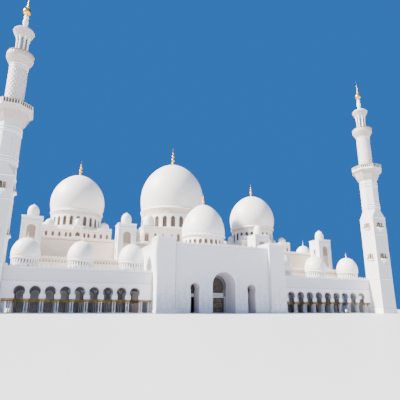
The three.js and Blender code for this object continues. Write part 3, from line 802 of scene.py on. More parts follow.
class Finish(Enum):
    """Every finish of the building."""

    MARBLE = SlabStone("white_marble_slabs", "white_marble", MARBLE_WHITE, MARBLE_TINT, 0.12, 0.06)
    TRIM = SlabStone(
        "white_marble_trim", "white_marble", (0.9, 0.9, 0.89, 1.0), (0.8, 0.8, 0.8, 1.0), 0.2, 0.2,
        0.0008, 0.4, 0.38,
    )
    PANEL = SlabStone(
        "white_marble_panels", "white_marble", (0.85, 0.855, 0.86, 1.0), (0.77, 0.78, 0.8, 1.0), 0.36, 0.29,
        0.0025, 0.5,
    )
    VAULT = SlabStone(
        "rose_grey_marble", "white_marble", (0.86, 0.8, 0.785, 1.0), (0.76, 0.71, 0.695, 1.0), 0.1, 0.05,
    )
    # Ash grey for stars, star nets, door frames and screen heads; painted shadow for the shadow lines behind
    # dentils and along the pylons.
    ASH_AND_SHADE = SlabStone(
        "ash_grey_and_painted_shade", "white_marble", (0.46, 0.45, 0.46, 1.0), (0.37, 0.36, 0.37, 1.0), 0.1, 0.05,
    )
    # The minarets' marble, darker than the white marble as painted shade; the round shaft is darker still.
    SHAFT = SlabStone(
        "minaret_marble_darkened_as_shade", "white_marble", (0.74, 0.72, 0.7, 1.0), (0.64, 0.62, 0.605, 1.0), 0.12, 0.06,
    )
    ROUND_SHAFT = SlabStone(
        "minaret_round_darkened_as_shade", "dome_marble", (0.64, 0.6, 0.555, 1.0), (0.54, 0.505, 0.465, 1.0), 0.16, 0.11,
        0.001, 0.35, 0.46, Mapping.UNROLLED,
    )
    ARCADE = SlabStone(
        "arcade_marble_slabs", "white_marble", (0.91, 0.895, 0.9, 1.0), (0.83, 0.815, 0.82, 1.0), 0.12, 0.06,
        grey_above=0.92,
    )
    PALE_CREAM = SlabStone(
        "pale_cream_stone", "cream_stone", (0.89, 0.835, 0.765, 1.0), (0.81, 0.75, 0.675, 1.0), 0.1, 0.05,
        0.0014, 0.7, 0.6,
    )
    # Dark slate grey for the entrance rings; painted shade for the arcade soffits, the gallery lunettes and the
    # minaret lanterns' cores.
    SLATE_AND_SHADE = SlabStone(
        "slate_grey_and_painted_shade", "white_marble", (0.25, 0.245, 0.255, 1.0), (0.17, 0.165, 0.175, 1.0), 0.1, 0.05,
    )
    # Painted shade: near-black grey plates on the gallery wall behind the arcades.
    PAINTED_SHADE = SlabStone(
        "painted_shade_grey", "white_marble", (0.17, 0.165, 0.175, 1.0), (0.1, 0.095, 0.105, 1.0), 0.1, 0.05,
    )
    # Ivory darkened as painted shade, for the minarets' scallops, balcony wall and crown, and the backs of the
    # towers' niches.
    SHADED_IVORY = SlabStone(
        "shaded_ivory", "white_marble", (0.55, 0.49, 0.435, 1.0), (0.44, 0.39, 0.345, 1.0), 0.06, 0.04,
        0.001, 0.6,
    )
    DOME = SlabStone(
        "dome_marble_panels", "dome_marble", DOME_WHITE, DOME_TINT, 0.16, 0.11,
        0.001, 0.35, 0.46, Mapping.UNROLLED,
    )
    CREAM = SlabStone("cream_stone_courses", "cream_stone", CREAM, CREAM_TINT, 0.1, 0.05, 0.0014, 0.7, 0.68)
    PAVING = SlabStone(
        "white_paving", "paving", (0.82, 0.82, 0.81, 1.0), (0.7, 0.7, 0.71, 1.0), 0.12, 0.12,
        0.001, 0.5, 0.24,
    )
    CARVED_BAND = CarvedStone(
        "carved_drum_band", "dome_marble", (0.82, 0.7, 0.59, 1.0), (0.52, 0.43, 0.35, 1.0), 0.07,
        Mapping.UNROLLED,
    )
    GOLD = Gilding("gold_leaf", "gilding", (0.86, 0.53, 0.13, 1.0), (0.56, 0.31, 0.06, 1.0), 0.33)
    # Dull gilt, made darker than its own tone as painted shade, after the gold bands of the arcades in shade.
    GOLD_TRIM = Gilding(
        "dull_gilt_and_painted_shade", "gilding", (0.44, 0.29, 0.1, 1.0), (0.22, 0.14, 0.05, 1.0), 0.42, 0.6
    )
    BRONZE = Gilding(
        "bronze_lattice", "fanlight_lattice", (0.2, 0.13, 0.07, 1.0), (0.1, 0.06, 0.035, 1.0), 0.45, 0.5,
    )
    DOOR = Gilding("bronze_door", "door_bronze", (0.13, 0.1, 0.06, 1.0), (0.07, 0.05, 0.03, 1.0), 0.4, 0.45)
    DOOR_TRIM = Gilding(
        "door_tracery", "door_bronze", (0.46, 0.38, 0.24, 1.0), (0.25, 0.2, 0.12, 1.0), 0.4, 0.5,
    )
    SCREEN = CarvedStone(
        "pierced_screen", "fanlight_lattice", (0.28, 0.22, 0.165, 1.0), (0.06, 0.048, 0.038, 1.0), 0.032,
    )
    AMBER_SCREEN = CarvedStone(
        "gilded_pierced_screen", "fanlight_lattice", (0.55, 0.32, 0.11, 1.0), (0.12, 0.065, 0.03, 1.0), 0.026,
    )
    GLASS = Glazing("dark_glass", "fanlight_lattice", (0.05, 0.045, 0.04, 1.0), (0.16, 0.13, 0.1, 1.0), 0.03)
    # Carved brown for window screens; painted shade for flat niches, niche heads, panels behind lattices and
    # the strips behind dentils.
    BROWN_AND_SHADE = CarvedStone(
        "carved_brown_and_painted_shade", "cream_stone", (0.47, 0.36, 0.27, 1.0), (0.22, 0.16, 0.11, 1.0), 0.05,
    )
    LEAF = SlabStone(
        "green_stone_inlay", "white_marble", (0.6, 0.65, 0.58, 1.0), (0.5, 0.57, 0.49, 1.0), 0.05, 0.05,
    )
    ROSE = SlabStone(
        "rose_stone_inlay", "white_marble", (0.72, 0.6, 0.58, 1.0), (0.64, 0.52, 0.5, 1.0), 0.05, 0.05,
    )
    INLAY = InlaidStone(
        "inlaid_column_stone", "white_marble", (0.87, 0.86, 0.84, 1.0), (0.2, 0.33, 0.19, 1.0),
        (0.55, 0.2, 0.18, 1.0), 0.022,
    )


NODE_FINISH = {
    "floor_slab": Finish.PAVING,
    "portal": Finish.PANEL,
    "entrance_screen": Finish.VAULT,
    "entrance_vault": Finish.VAULT,
    "entrance_fanlight": Finish.GLASS,
    "finial": Finish.GOLD,
    "door_leaf": Finish.DOOR,
    "gallery": Finish.CREAM,
    "hall": Finish.CREAM,
    "dome_block": Finish.PALE_CREAM,
    "tower": Finish.MARBLE,
    "arcade_wall": Finish.ARCADE,
    "arcade": Finish.MARBLE,
    "minaret": Finish.SHAFT,
    "dome": Finish.DOME,
}


def dress_nodes(nodes: dict[str, bpy.types.Object]) -> None:
    """Gives each node of the frame the finish of the first word that its name holds."""
    for name, node in nodes.items():
        finish = next(f for word, f in NODE_FINISH.items() if word in name)
        node.data.materials.clear()
        node.data.materials.append(finish.value.material())


# Windows


@dataclass
class Windows:
    """The frames, screens and glass of a group of windows, each kind one piece."""

    name: str
    frame: Surface = field(default_factory=Surface)
    screen: Surface = field(default_factory=Surface)
    glass: Surface = field(default_factory=Surface)

    def add(self, place: Place, half: float, sill: float, top: float, offset: float = 0.0,
            sunk: float = 0.035, rim: float = 0.018, bars: bool = True, band: float = 0.0) -> None:
        """Adds one window: a moulded frame, glass behind it, and upright and cross bars if it has them.

        Args:
            place: The face or cylinder that it is in.
            half: Half its clear width.
            sill: Height of its sill.
            top: Height of its crown.
            offset: Its middle, along the face.
            sunk: How far the glass lies behind the face.
            rim: The width of its frame.
            bars: Whether it has bars.
            band: The width of a flat pierced band between the opening and its frame.
        """
        line = window_line(half, sill, top) + [offset, 0]
        lip = rim * 0.25
        profile = [(-lip, -sunk), (-lip, rim * 0.5), (rim * 0.8, rim * 0.5), (rim, 0.0), (rim, -0.002)]
        if band:
            flat = [(-lip, -sunk), (-lip, 0.004), (band, 0.004), (band, -0.002)]
            self.screen.add(moulding(line, flat, closed=True), place)
            profile = [(band + a, b) for a, b in [(0, -0.002), (0, rim * 0.5), *profile[2:]]]
        self.frame.add(moulding(line, profile, closed=True), place)
        self.glass.add(plate(line, -sunk, -sunk + 0.006), place)
        if not bars:
            return
        near, far = -sunk + 0.006, -sunk + 0.016
        thin = min(0.014, half * 0.16)
        self.screen.add(bar((offset, sill), (offset, top), thin * 1.4, near, far + 0.004), place)
        for share in (-0.5, 0.5):
            u = offset + half * share
            self.screen.add(bar((u, sill), (u, top - half * 0.7), thin * 0.7, near, far), place)
        count = max(2, round((top - sill) / (half * 0.9)))
        for k in range(1, count):
            z = sill + (top - half * 0.6 - sill) * k / count
            self.screen.add(bar((offset - half, z), (offset + half, z), thin * 0.7, near, far), place)

    def pieces(self, screen: Finish = Finish.BRONZE, glass: Finish = Finish.GLASS) -> None:
        """Makes the frames, the panes and, where there are any, the bars."""
        self.frame.piece(f"{self.name}_window_frames", Finish.TRIM)
        if self.screen.shells:
            self.screen.piece(f"{self.name}_window_screens", screen)
        self.glass.piece(f"{self.name}_window_glass", glass)


# Domes


@dataclass(frozen=True)
class Spindle:
    """A gilded finial: a tapering neck with balls on it."""

    neck: float
    balls: tuple[tuple[float, float], ...] = ((0.12, 1.6), (0.33, 1.9), (0.53, 1.4), (0.7, 0.9))
    count: int = 24

    def shell(self, bottom: float, tip: float) -> Shell:
        """r(z) is the greatest of the neck's taper and of each ball's sqrt(R^2 - (z - c)^2).

        Args:
            bottom: Height of its foot.
            tip: Height of its tip.

        Returns:
            The turned surface about the axis.
        """
        z = np.linspace(bottom, tip, 90)
        share = (z - bottom) / (tip - bottom)
        r = self.neck * (0.08 + 0.62 * (1 - share) ** 1.4)
        for at, size in self.balls:
            ball, c = self.neck * size, bottom + (tip - bottom) * at
            r = np.maximum(r, np.sqrt(np.maximum(ball**2 - ((z - c) * 0.8) ** 2, 0)))
        cup = self.neck * 2.2 * np.clip(1 - share / 0.05, 0, 1) ** 0.5
        return lathe([(0, bottom), *zip(np.maximum(r, cup), z), (0, tip)], self.count)


def spike(radius: float, bottom: float, tip: float) -> Shell:
    """A slim white spike with two bulbs: r(s) = R (0.55 (1 - s) ** 1.5 + 0.45 bulbs + 0.04)."""
    s = np.linspace(0, 1, 18)
    bulbs = np.exp(-(((s - 0.2) / 0.09) ** 2)) + 0.6 * np.exp(-(((s - 0.45) / 0.06) ** 2))
    r = radius * (0.55 * (1 - s) ** 1.5 + 0.45 * bulbs + 0.04)
    return lathe([(0, bottom), *zip(r, bottom + s * (tip - bottom)), (0, tip + 0.002)], 12)


@dataclass
class DomedDrum:
    """A round drum with arched windows under a slightly pointed dome, with a finial or a spike."""

    name: str
    nodes: tuple[str, ...]
    x: float
    y: float
    base: float
    radius: float
    wall: float
    ring: float
    widest: float
    widest_z: float
    top: float
    tip: float
    sill: float
    head: float
    half: float
    neck: float = 0.03
    bays: int = 24
    columns: int = 144
    point: float = 1.15
    pane: Finish = Finish.SCREEN
    bars: bool = True
    band_rows: int = 18
    bay_steps: int = 16

    def build(self) -> None:
        """Builds the dome, the drum, its windows and its finial."""
        self.build_dome()
        self.build_drum()
        self.build_windows()
        finial = [n for n in self.nodes if "finial" in n]
        here = moved(self.x, self.y)
        if finial:
            gold = Surface().add(Spindle(self.neck).shell(self.top - 0.012, self.tip), here)
            gold.piece(f"{self.name}_gold_finial", Finish.GOLD, replaces=finial)
        else:
            white = Surface().add(spike(self.neck, self.top - 0.008, self.tip), here)
            white.piece(f"{self.name}_spike", Finish.TRIM)

    def curve(self, inset: float, rows: int) -> list[tuple[float, float]]:
        """The dome's profile: a short bulge, then r = R cos(t) ** point, z = widest + rise sin(t).

        Args:
            inset: How far inside the outer surface it runs.
            rows: The number of points above the widest line.

        Returns:
            The profile as (radius, height), from the ring to the crown.
        """
        foot = self.radius + self.wall * 0.4
        a = np.linspace(0, 1, 6)[:-1]
        low_z = self.ring + (self.widest_z - self.ring) * a
        low_r = foot + (self.widest - foot) * np.sin(a * math.pi / 2) - inset
        t = np.linspace(0, math.pi / 2, rows)
        high_r = (self.widest - inset) * np.cos(t) ** self.point
        high_z = self.widest_z + (self.top - inset - self.widest_z) * np.sin(t)
        return [*zip(low_r, low_z), *zip(high_r[:-1], high_z[:-1]), (0.0, self.top - inset)]

    def build_dome(self) -> None:
        """The dome as a shell with its real thickness, over a rounded ring with a thin fillet."""
        outer = self.curve(0.0, 34)
        inner = self.curve(self.wall, 14)
        profile = [*outer[:-1], (0.001, outer[-1][1]), (0.001, inner[-1][1]), *inner[-2::-1]]
        shell = Surface().add(lathe(profile, self.columns, ring=True), moved(self.x, self.y))
        domes = [n for n in self.nodes if "finial" not in n]
        shell.piece(f"{self.name}_shell", Finish.DOME, replaces=domes)
        step = self.wall
        rings = Surface()
        r, z = self.radius, self.ring
        band = [
            (r - step * 0.5, z - step * 1.3), (r + step * 0.9, z - step * 1.3),
            (r + step * 1.35, z - step), (r + step * 1.35, z - step * 0.35),
            (r + step, z), (r - step * 0.5, z),
        ]
        rings.add(lathe(band, self.columns, ring=True), moved(self.x, self.y))
        lip = [(r + (0.4 + a * 0.45) * step, z + b * step * 0.45) for a, b in staff(1.0)]
        rings.add(lathe(lip, self.columns, ring=True), moved(self.x, self.y))
        rings.piece(f"{self.name}_ring", Finish.TRIM)

    def build_drum(self) -> None:
        """The drum: a block with an arched hole for each bay, pilasters, and a carved band above.

        A bay is a loft through four closed lines: the bay's border and the window's line at the
        face, then the window's line and the border at the back of the wall.
        """
        skin, trim = Surface(), Surface()
        half_bay = math.pi * self.radius / self.bays
        z0, z1 = self.base, self.head + self.half * 0.9
        line = window_line(self.half, self.sill, self.head, 10)
        border = self.border(line, half_bay, z0, z1)
        loops = [(border, 0.0), (line, 0.0), (line, -self.wall), (border, -self.wall)]
        rows = np.stack([np.stack([p[:, 0], np.full(len(p), d), p[:, 1]], -1) for p, d in loops])
        bay = loft(rows, looped=True)
        pier = (half_bay - self.half) * 0.5
        for k in range(self.bays):
            turn = TAU * k / self.bays
            skin.add(bay, Round(self.x, self.y, self.radius, turn))
            middle = Round(self.x, self.y, self.radius, turn + TAU / self.bays / 2)
            trim.add(self.pilaster(pier), middle)
        foot = self.wall * 0.5
        profile = [(self.radius + a * foot - foot * 0.3, self.base + b * foot) for a, b in staff(1.6)]
        trim.add(lathe(profile, self.columns, ring=True), moved(self.x, self.y))
        skin.piece(f"{self.name}_drum", Finish.DOME, crease=25)
        trim.piece(f"{self.name}_pilasters", Finish.TRIM)
        self.build_band(z1)

    def border(self, line: Array, half_bay: float, z0: float, z1: float) -> Array:
        """The bay's border, with one point for each of the window's: each moved straight outwards
        from the window's middle until it meets the border, and the nearest ones put in the corners.
        """
        middle = np.array([0.0, (self.sill + self.head) / 2])
        way = line - middle
        up = np.where(way[:, 1] > 0, z1 - middle[1], middle[1] - z0)
        reach = np.minimum(
            half_bay / np.maximum(np.abs(way[:, 0]), 1e-9), up / np.maximum(np.abs(way[:, 1]), 1e-9)
        )
        border = middle + way * reach[:, None]
        for corner in ((half_bay, z0), (half_bay, z1), (-half_bay, z1), (-half_bay, z0)):
            border[np.argmin(np.linalg.norm(border - corner, axis=1))] = corner
        return border

    def pilaster(self, half: float) -> Shell:
        """A slim pilaster between two windows, wider at its foot and its head."""
        z0, z1 = self.sill - self.half * 0.2, self.head - self.half * 0.35
        tall = z1 - z0
        steps = [(1.3, 0), (1.3, 0.06), (1, 0.08), (1, 0.86), (1.15, 0.89), (1.3, 0.94), (1.3, 1)]
        out = half * 0.3
        section = np.array([(-1, -0.6), (-1, 0.6), (-0.5, 1), (0.5, 1), (1, 0.6), (1, -0.6)])
        rows = [
            np.stack([section[:, 0] * half * s, section[:, 1] * out * s, np.full(6, z0 + t * tall)], -1)
            for s, t in steps
        ]
        return loft(np.stack(rows))

    def build_band(self, bottom: float) -> None:
        """The carved band under the ring, swung outwards by 1 - cos; arches and a net stand on it.

        The net is cos(a) cos(b) summed over two turned grids, cut off at half its height. Over every
        window stands an arch, exp(-((t - h(u)) / w) ** 2) with h(u) = 0.85 sqrt(1 - u u), where u runs
        from -1 to 1 across the bay and t up the band.
        """
        top = self.ring - self.wall * 1.25
        rows, columns = self.band_rows, self.bays * self.bay_steps
        t = np.linspace(0, 1, rows)[:, None]
        turn = np.arange(columns)[None, :] / columns * TAU
        cells = self.bays * 2
        across, up = turn * cells, t * (top - bottom) * cells / self.radius
        net = np.cos(across) * np.cos(up) + np.cos((across + up) * 0.5) * np.cos((across - up) * 0.5)
        u = (turn * self.bays / TAU + 0.5) % 1.0 * 2 - 1
        arch = np.exp(-(((t - 0.85 * np.sqrt(1 - u * u)) / 0.12) ** 2))
        ridge = (0.7 * np.clip(np.abs(net) * 1.6 - 0.5, 0, 0.6) + arch) * np.sin(math.pi * t) ** 0.4
        r = self.radius + self.wall * (0.15 + 0.85 * (1 - np.cos(t * math.pi / 2))) + 0.009 * ridge
        z = bottom + t * (top - bottom) + 0 * turn
        face = np.stack([self.x + r * np.sin(turn), self.y - r * np.cos(turn), z], -1)
        inner = self.radius - self.wall * 0.5
        back = [
            np.stack([self.x + inner * np.sin(turn[0]), self.y - inner * np.cos(turn[0]), 0 * turn[0] + h], -1)
            for h in (top, bottom)
        ]
        around = np.arange(columns + 1) / columns * TAU * self.radius
        along = np.concatenate([t[:, 0] * (top - bottom), [top - bottom, 0, 0]])
        band = loft(np.concatenate([face, np.stack(back)]), looped=True, across=around, along=along)
        Surface().add(band).piece(f"{self.name}_carved_band", Finish.CARVED_BAND, crease=60)

    def build_windows(self) -> None:
        """A screen and glass in every bay of the drum."""
        windows = Windows(self.name)
        rim = min(0.02, (math.pi * self.radius / self.bays - self.half) * 0.45)
        for k in range(self.bays):
            place = Round(self.x, self.y, self.radius, TAU * k / self.bays)
            windows.add(
                place, self.half, self.sill, self.head, sunk=self.wall * 0.7, rim=rim, bars=self.bars
            )
        windows.pieces(glass=self.pane)


def big_domes() -> list[DomedDrum]:
    """The main dome, the two side domes and the entrance dome."""
    main = DomedDrum(
        "main_dome", ("main_dome", "main_finial"), 0, 1.73, 3.67, 1.51, 0.06, 4.83, 1.6, 5.52, 7.445, 8.44,
        3.84, 4.4, 0.112, 0.045,
    )
    entrance = DomedDrum(
        "entrance_dome", ("entrance_dome", "entrance_finial"), 0, -2.51, 2.3, 0.82, 0.045, 2.93, 0.865, 3.06,
        4.25, 4.73, 2.44, 2.74, 0.07, 0.028, pane=Finish.AMBER_SCREEN,
    )
    sides = [
        DomedDrum(
            f"{name}_side_dome", (f"{name}_side_dome", f"{name}_side_finial"), side * 4.64, 1.68, 3.36, 1.1,
            0.05, 4.35, 1.208, 4.83, 6.235, 7.0, 3.62, 4.06, 0.084, 0.038,
        )
        for name, side in SIDES
    ]
    return [main, entrance, *sides]


def arcade_domes() -> list[DomedDrum]:
    """The three domes of each arcade."""
    return [
        DomedDrum(
            f"{name}_arcade_dome_{i + 1}", (f"{name}_arcade_dome_{i + 1}",), side * at, -3.37, 1.3, 0.4,
            0.028, 1.672, 0.437, 1.76, 2.305, 2.57, 1.455, 1.61, 0.025, 0.024, bays=28, columns=60,
            point=0.95, bars=False, band_rows=9, bay_steps=8,
        )
        for name, side in SIDES
        for i, at in enumerate((3.04, 4.72, 6.4))
    ]


# Small shapes


def block(x0: float, x1: float, y0: float, y1: float, z0: float, z1: float) -> Shell:
    """An upright block between two corners."""
    flat = np.array([[x0, y0], [x1, y0], [x1, y1], [x0, y1]], float)
    return loft(np.stack([np.column_stack([flat, np.full(4, z)]) for z in (z0, z1)]))


def star(radius: float, tips: int, waist: float, out: float) -> Shell:
    """A shallow star boss: r(k) alternates between the radius and the waist, raised to an apex."""
    t = np.arange(2 * tips) / (2 * tips) * TAU
    r = np.where(np.arange(2 * tips) % 2 == 0, radius, radius * waist)
    rim = np.stack([r * np.sin(t), 0 * t, r * np.cos(t)], -1)
    return loft(rim[None], ends=((0, -0.002, 0), (0, out, 0)))


def bulb(radius: float, bottom: float, top: float, at: float = 0.35) -> list[tuple[float, float]]:
    """A small bulbous cap as (radius, height), widest at a share of its height.

    Above its widest line r = R (1 - q ** 2.2) ** 0.53, where q runs from 0 there to 1 at the top.
    """
    low = np.linspace(0, at, 4)[:-1]
    high = np.linspace(at, 1, 14)
    r_low = 0.95 + 0.05 * np.sin(low / at * math.pi / 2)
    r_high = (1 - ((high - at) / (1 - at)) ** 2.2) ** 0.53
    s, r = np.concatenate([low, high]), np.concatenate([r_low, r_high])
    return [(0.0, bottom), *zip(r[:-1] * radius, bottom + s[:-1] * (top - bottom)), (0.0, top)]


def column(radius: float, bottom: float, top: float, count: int = 12) -> Shell:
    """A slim round column with a moulded foot and a flared head, about the axis."""
    foot = [(1.8, 0), (1.8, 0.7), (1.4, 0.9), (1.55, 1.3), (1.1, 1.7), (1, 2.1)]
    head = [(0.94, -4.2), (1.2, -4.0), (1.0, -3.7), (1.15, -2.6), (1.7, -0.9), (1.8, -0.7), (1.8, 0)]
    profile = [(r * radius, bottom + z * radius) for r, z in foot]
    profile += [(r * radius, top + z * radius) for r, z in head]
    return lathe([(0, bottom), *profile, (0, top)], count)


def prism(profile: Sequence[Sequence[float]], sides: int, ring: bool = False) -> Shell:
    """A profile around a regular prism, as (distance of the flat sides, height), one side facing -Y."""
    grow = 1 / math.cos(math.pi / sides)
    turned = lathe([(r * grow, z) for r, z in profile], sides, ring)
    t = math.pi / sides
    c, s = math.cos(t), math.sin(t)
    p = turned.points
    return replace(turned, points=np.stack([p[:, 0] * c - p[:, 1] * s, p[:, 0] * s + p[:, 1] * c, p[:, 2]], -1))


def liner(line: Array, depth: float, rim: float, skin: float = 0.0045, out: float = 0.006) -> Shell:
    """A smooth skin through an opening, with a rim on both faces of its wall.

    Args:
        line: The opening's outline.
        depth: The thickness of the wall.
        rim: The width of the rim on the wall's faces.
        skin: How far the skin stands inside the outline.
        out: How far the rim stands out of the wall.

    Returns:
        The liner in the face's own numbers.
    """
    front = [(-skin, out), (rim * 0.75, out), (rim, out * 0.3), (rim, -0.001), (0.0, -0.001)]
    back = [(0.0, 0.001 - depth), (rim, 0.001 - depth), (rim, -depth - out), (-skin, -depth - out)]
    return moulding(line, front + back)


def shifted(shell: Shell, u: float, z: float, d: float = 0.0) -> Shell:
    """A surface moved along its face."""
    return replace(shell, points=shell.points + np.array([u, d, z]))


def parapet(trim: Surface, crests: Surface, place: Place, u0: float, u1: float, z: float,
            size: float = 0.05, pitch: float = 0.075, shadow: Surface | None = None) -> None:
    """A cornice just under the top of a wall, dentils under it, and merlons along its edge.

    Args:
        trim: The surface of the mouldings.
        crests: The surface of the merlons.
        place: The wall's face.
        u0: Where it starts along the face.
        u1: Where it ends.
        z: The top of the wall.
        size: The height of the cornice, which stands out by half as much.
        pitch: The distance between merlons.
        shadow: The surface of a strip of painted shadow behind the dentils, if there is one.
    """
    if shadow is not None:
        strip = [(-0.001, 0), (0.003, 0), (0.003, size * 0.66), (-0.001, size * 0.66)]
        shadow.add(ledge(u0, u1, z - size * 1.61, strip), place)
    trim.add(ledge(u0, u1, z - size, cornice(size * 0.5, size)), place)
    trim.add(ledge(u0, u1, z - size * 1.9, staff(size * 0.3)), place)
    count = max(1, round((u1 - u0) / (size * 1.1)))
    step = (u1 - u0) / count
    for k in range(count):
        u = u0 + step * (k + 0.5)
        trim.add(bar((u, z - size * 1.55), (u, z - size * 0.98), step * 0.5, -0.001, size * 0.22), place)
    crest(crests, place, u0, u1, z, pitch)


@dataclass(frozen=True)
class Cap:
    """A bulbous white cap on a round collar with a small pale tip."""

    x: float
    y: float
    radius: float
    bottom: float
    top: float
    at: float = 0.35

    def add(self, stone: Surface) -> None:
        """Adds the cap, its collar and its tip to a surface of stone."""
        here = moved(self.x, self.y)
        stone.add(lathe(bulb(self.radius, self.bottom, self.top, self.at), 28), here)
        size = self.radius * 0.12
        collar = [(self.radius * 0.98 + a, self.bottom + b) for a, b in staff(size)]
        stone.add(lathe(collar, 28, ring=True), here)
        stone.add(spike(self.radius * 0.14, self.top - self.radius * 0.03, self.top + self.radius * 0.3), here)


# Portal


@dataclass(frozen=True)
class Vine:
    """A climbing stem of inlaid stone with leaves and flowers, laid on a wall."""

    u: float
    bottom: float
    height: float
    sway: float = 0.035
    turns: float = 1.2
    leaves: int = 12

    def way(self, s: Array) -> Array:
        """The stem: (u + sway sin(turns s) (1 - s / 2), bottom + s height) for s from 0 to 1."""
        wave = np.sin(s * self.turns * TAU) * (1 - s * 0.5)
        return np.stack([self.u + self.sway * wave, self.bottom + s * self.height], -1)

    def add(self, green: Surface, rose: Surface, place: Place) -> None:
        """Adds the stem and its leaves to one surface and its flowers to the other."""
        stem = [(-0.0025, -0.001), (0.0025, -0.001), (0.0018, 0.0025), (-0.0018, 0.0025)]
        green.add(moulding(self.way(np.linspace(0, 1, 60)), stem), place)
        spots = (np.arange(self.leaves) + 0.5) / self.leaves
        leaf = np.array([[0, 0], [0.011, 0.009], [0.013, 0.024], [0, 0.044], [-0.013, 0.024], [-0.011, 0.009]])
        for k, (u, z) in enumerate(self.way(spots)):
            lean = (1 if k % 2 == 0 else -1) * 1.05
            c, s = math.cos(lean), math.sin(lean)
            line = leaf @ np.array([[c, -s], [s, c]]) + [u, z]
            green.add(plate(line, -0.001, 0.002), place)
        s = np.linspace(0, 1, 14)
        for k, (u, z) in enumerate(self.way(np.linspace(0.15, 1, 7))):
            side = 1 if k % 2 else -1
            reach = 0.05 + 0.012 * (k % 3)
            branch = np.stack([u + side * reach * np.sin(s * math.pi / 2), z + 0.06 * s**2], -1)
            green.add(moulding(branch, stem), place)
            rose.add(shifted(star(0.017 + 0.004 * (k % 3), 6, 0.62, 0.004), *branch[-1]), place)


@dataclass(frozen=True)
class Portal:
    """The dressing of the great front wall and its two pylons."""

    half: float = 2.43
    pylon_inner: float = 1.79
    pylon_front: float = -4.53
    pylon_back: float = -3.68
    pylon_top: float = 2.45
    front: float = -4.4
    back: float = -1.4
    top: float = 2.3
    floor: float = 0.015
    arch_half: float = 0.435
    arch_spring: float = 0.93
    arch_top: float = 1.39
    side_x: float = 1.07
    side_radius: float = 0.175
    side_centre: float = 0.815
    side_neck: float = 0.155
    side_depth: float = 0.48
    side_end: float = -3.885
    side_transom: float = 0.534
    vault_depth: float = 0.75

    def build(self) -> None:
        """Builds every part of it."""
        self.build_vaults()
        self.build_parapets()
        self.build_inlay()
        self.build_slits()

    def arch(self, steps: int = 48) -> Array:
        """The line of the tall arch."""
        return arch_line(
            self.arch_half, self.floor, self.arch_spring, self.arch_top, Head.ROUND, steps
        )

    def side_arch(self, steps: int = 36) -> Array:
        """The line of a narrow horseshoe arch about its middle."""
        top = self.side_centre + self.side_radius
        return arch_line(self.side_neck, self.floor, self.side_centre, top, Head.HORSESHOE, steps)

    def build_vaults(self) -> None:
        """The smooth linings of the three passages, with a fine raised rim around each arch."""
        face = Face(0, self.front)
        inside, behind, rim = 0.0045, 0.058, 0.0
        depth = self.vault_depth
        section = [
            (-inside, -depth), (-inside, rim), (inside, rim), (inside, -0.099),
            (behind, -0.101), (behind, -depth),
        ]
        hall = Surface().add(moulding(self.arch(), section), face)
        for share in (0.18, 0.42, 0.66, 0.9):
            d = -depth * share
            rib = [(-inside - 0.01, d - 0.012), (-inside - 0.01, d + 0.012), (0, d + 0.018), (0, d - 0.018)]
            hall.add(moulding(self.arch(), rib), face)
        hall.piece("entrance_vault_lining", Finish.VAULT, replaces=("entrance_vault",))
        for name, side in SIDES:
            line = self.side_arch() + [side * self.side_x, 0]
            depth = self.side_depth
            section = [
                (-inside, -depth), (-inside, rim), (inside, rim), (inside, -0.099),
                (behind, -0.101), (behind, -depth),
            ]
            passage = Surface().add(moulding(line, section), face)
            passage.piece(f"{name}_passage_lining", Finish.VAULT, replaces=(f"{name}_portal_vault",))
        edge = [(-0.006, -0.004), (-0.006, 0.006), (0.0, 0.01), (0.012, 0.01), (0.02, 0.004), (0.02, -0.002)]
        outer = [(0.034, -0.002), (0.034, 0.004), (0.038, 0.006), (0.044, 0.004), (0.044, -0.002)]
        rims, frames = Surface(), Surface()
        for profile in (edge, outer):
            rims.add(moulding(self.arch(), profile), face)
        reveal = [(-0.006, -0.004), (-0.006, 0.004), (0.0, 0.008), (0.03, 0.008), (0.036, 0.0), (0.036, -0.002)]
        for _, side in SIDES:
            line = self.side_arch() + [side * self.side_x, 0]
            frames.add(moulding(line, reveal), face)
            rims.add(moulding(line, [(a + 0.01, b) for a, b in outer]), face)
            self.add_fanlight(frames, side)
        rims.piece("portal_arch_rims", Finish.TRIM)
        frames.piece("side_arch_reveals", Finish.VAULT)
        self.build_side_fanlights()

    def add_fanlight(self, stone: Surface, side: int) -> None:
        """A pale transom across the end of a side passage, over its open doorway."""
        face = Face(side * self.side_x, self.side_end)
        for z, size in ((self.side_transom, 0.022), (self.side_transom + 0.1, 0.018)):
            stone.add(ledge(-self.side_neck - 0.03, self.side_neck + 0.03, z, staff(size)), face)
        low, high = self.side_transom + 0.01, self.side_transom + 0.11
        reach = self.side_neck + 0.03
        outline = np.array([[reach, low], [reach, high], [-reach, high], [-reach, low]])
        stone.add(plate(outline, -0.012, 0.002), face)

    def build_side_fanlights(self) -> None:
        """Rings and rays of bronze before dark glass in the head of each side passage's end."""
        lattice, glass = Surface(), Surface()
        low = self.side_transom + 0.1
        section = [(-0.003, 0.0), (0.003, 0.0), (0.002, 0.008), (-0.002, 0.008)]
        for _, side in SIDES:
            face = Face(side * self.side_x, self.side_end)
            radius = self.side_radius + 0.02
            start = math.asin((self.side_centre - low) / radius)
            a = np.linspace(-start, math.pi + start, 30)
            head = np.stack([radius * np.cos(a), self.side_centre + radius * np.sin(a)], -1)
            glass.add(plate(head, -0.012, -0.004), face)
            for share in (0.3, 0.55, 0.8):
                ring = [0, self.side_centre] + (head - [0, self.side_centre]) * share
                lattice.add(moulding(ring, section), face)
            for k in range(12):
                t = TAU * k / 12
                if math.sin(t) > -0.6:
                    c, s = math.cos(t), math.sin(t)
                    ends = [(r * c, self.side_centre + r * s) for r in (0.04, radius - 0.01)]
                    lattice.add(bar(*ends, 0.005, -0.002, 0.006), face)
        lattice.piece("side_passage_lattices", Finish.BRONZE)
        glass.piece("side_passage_glass", Finish.GLASS)

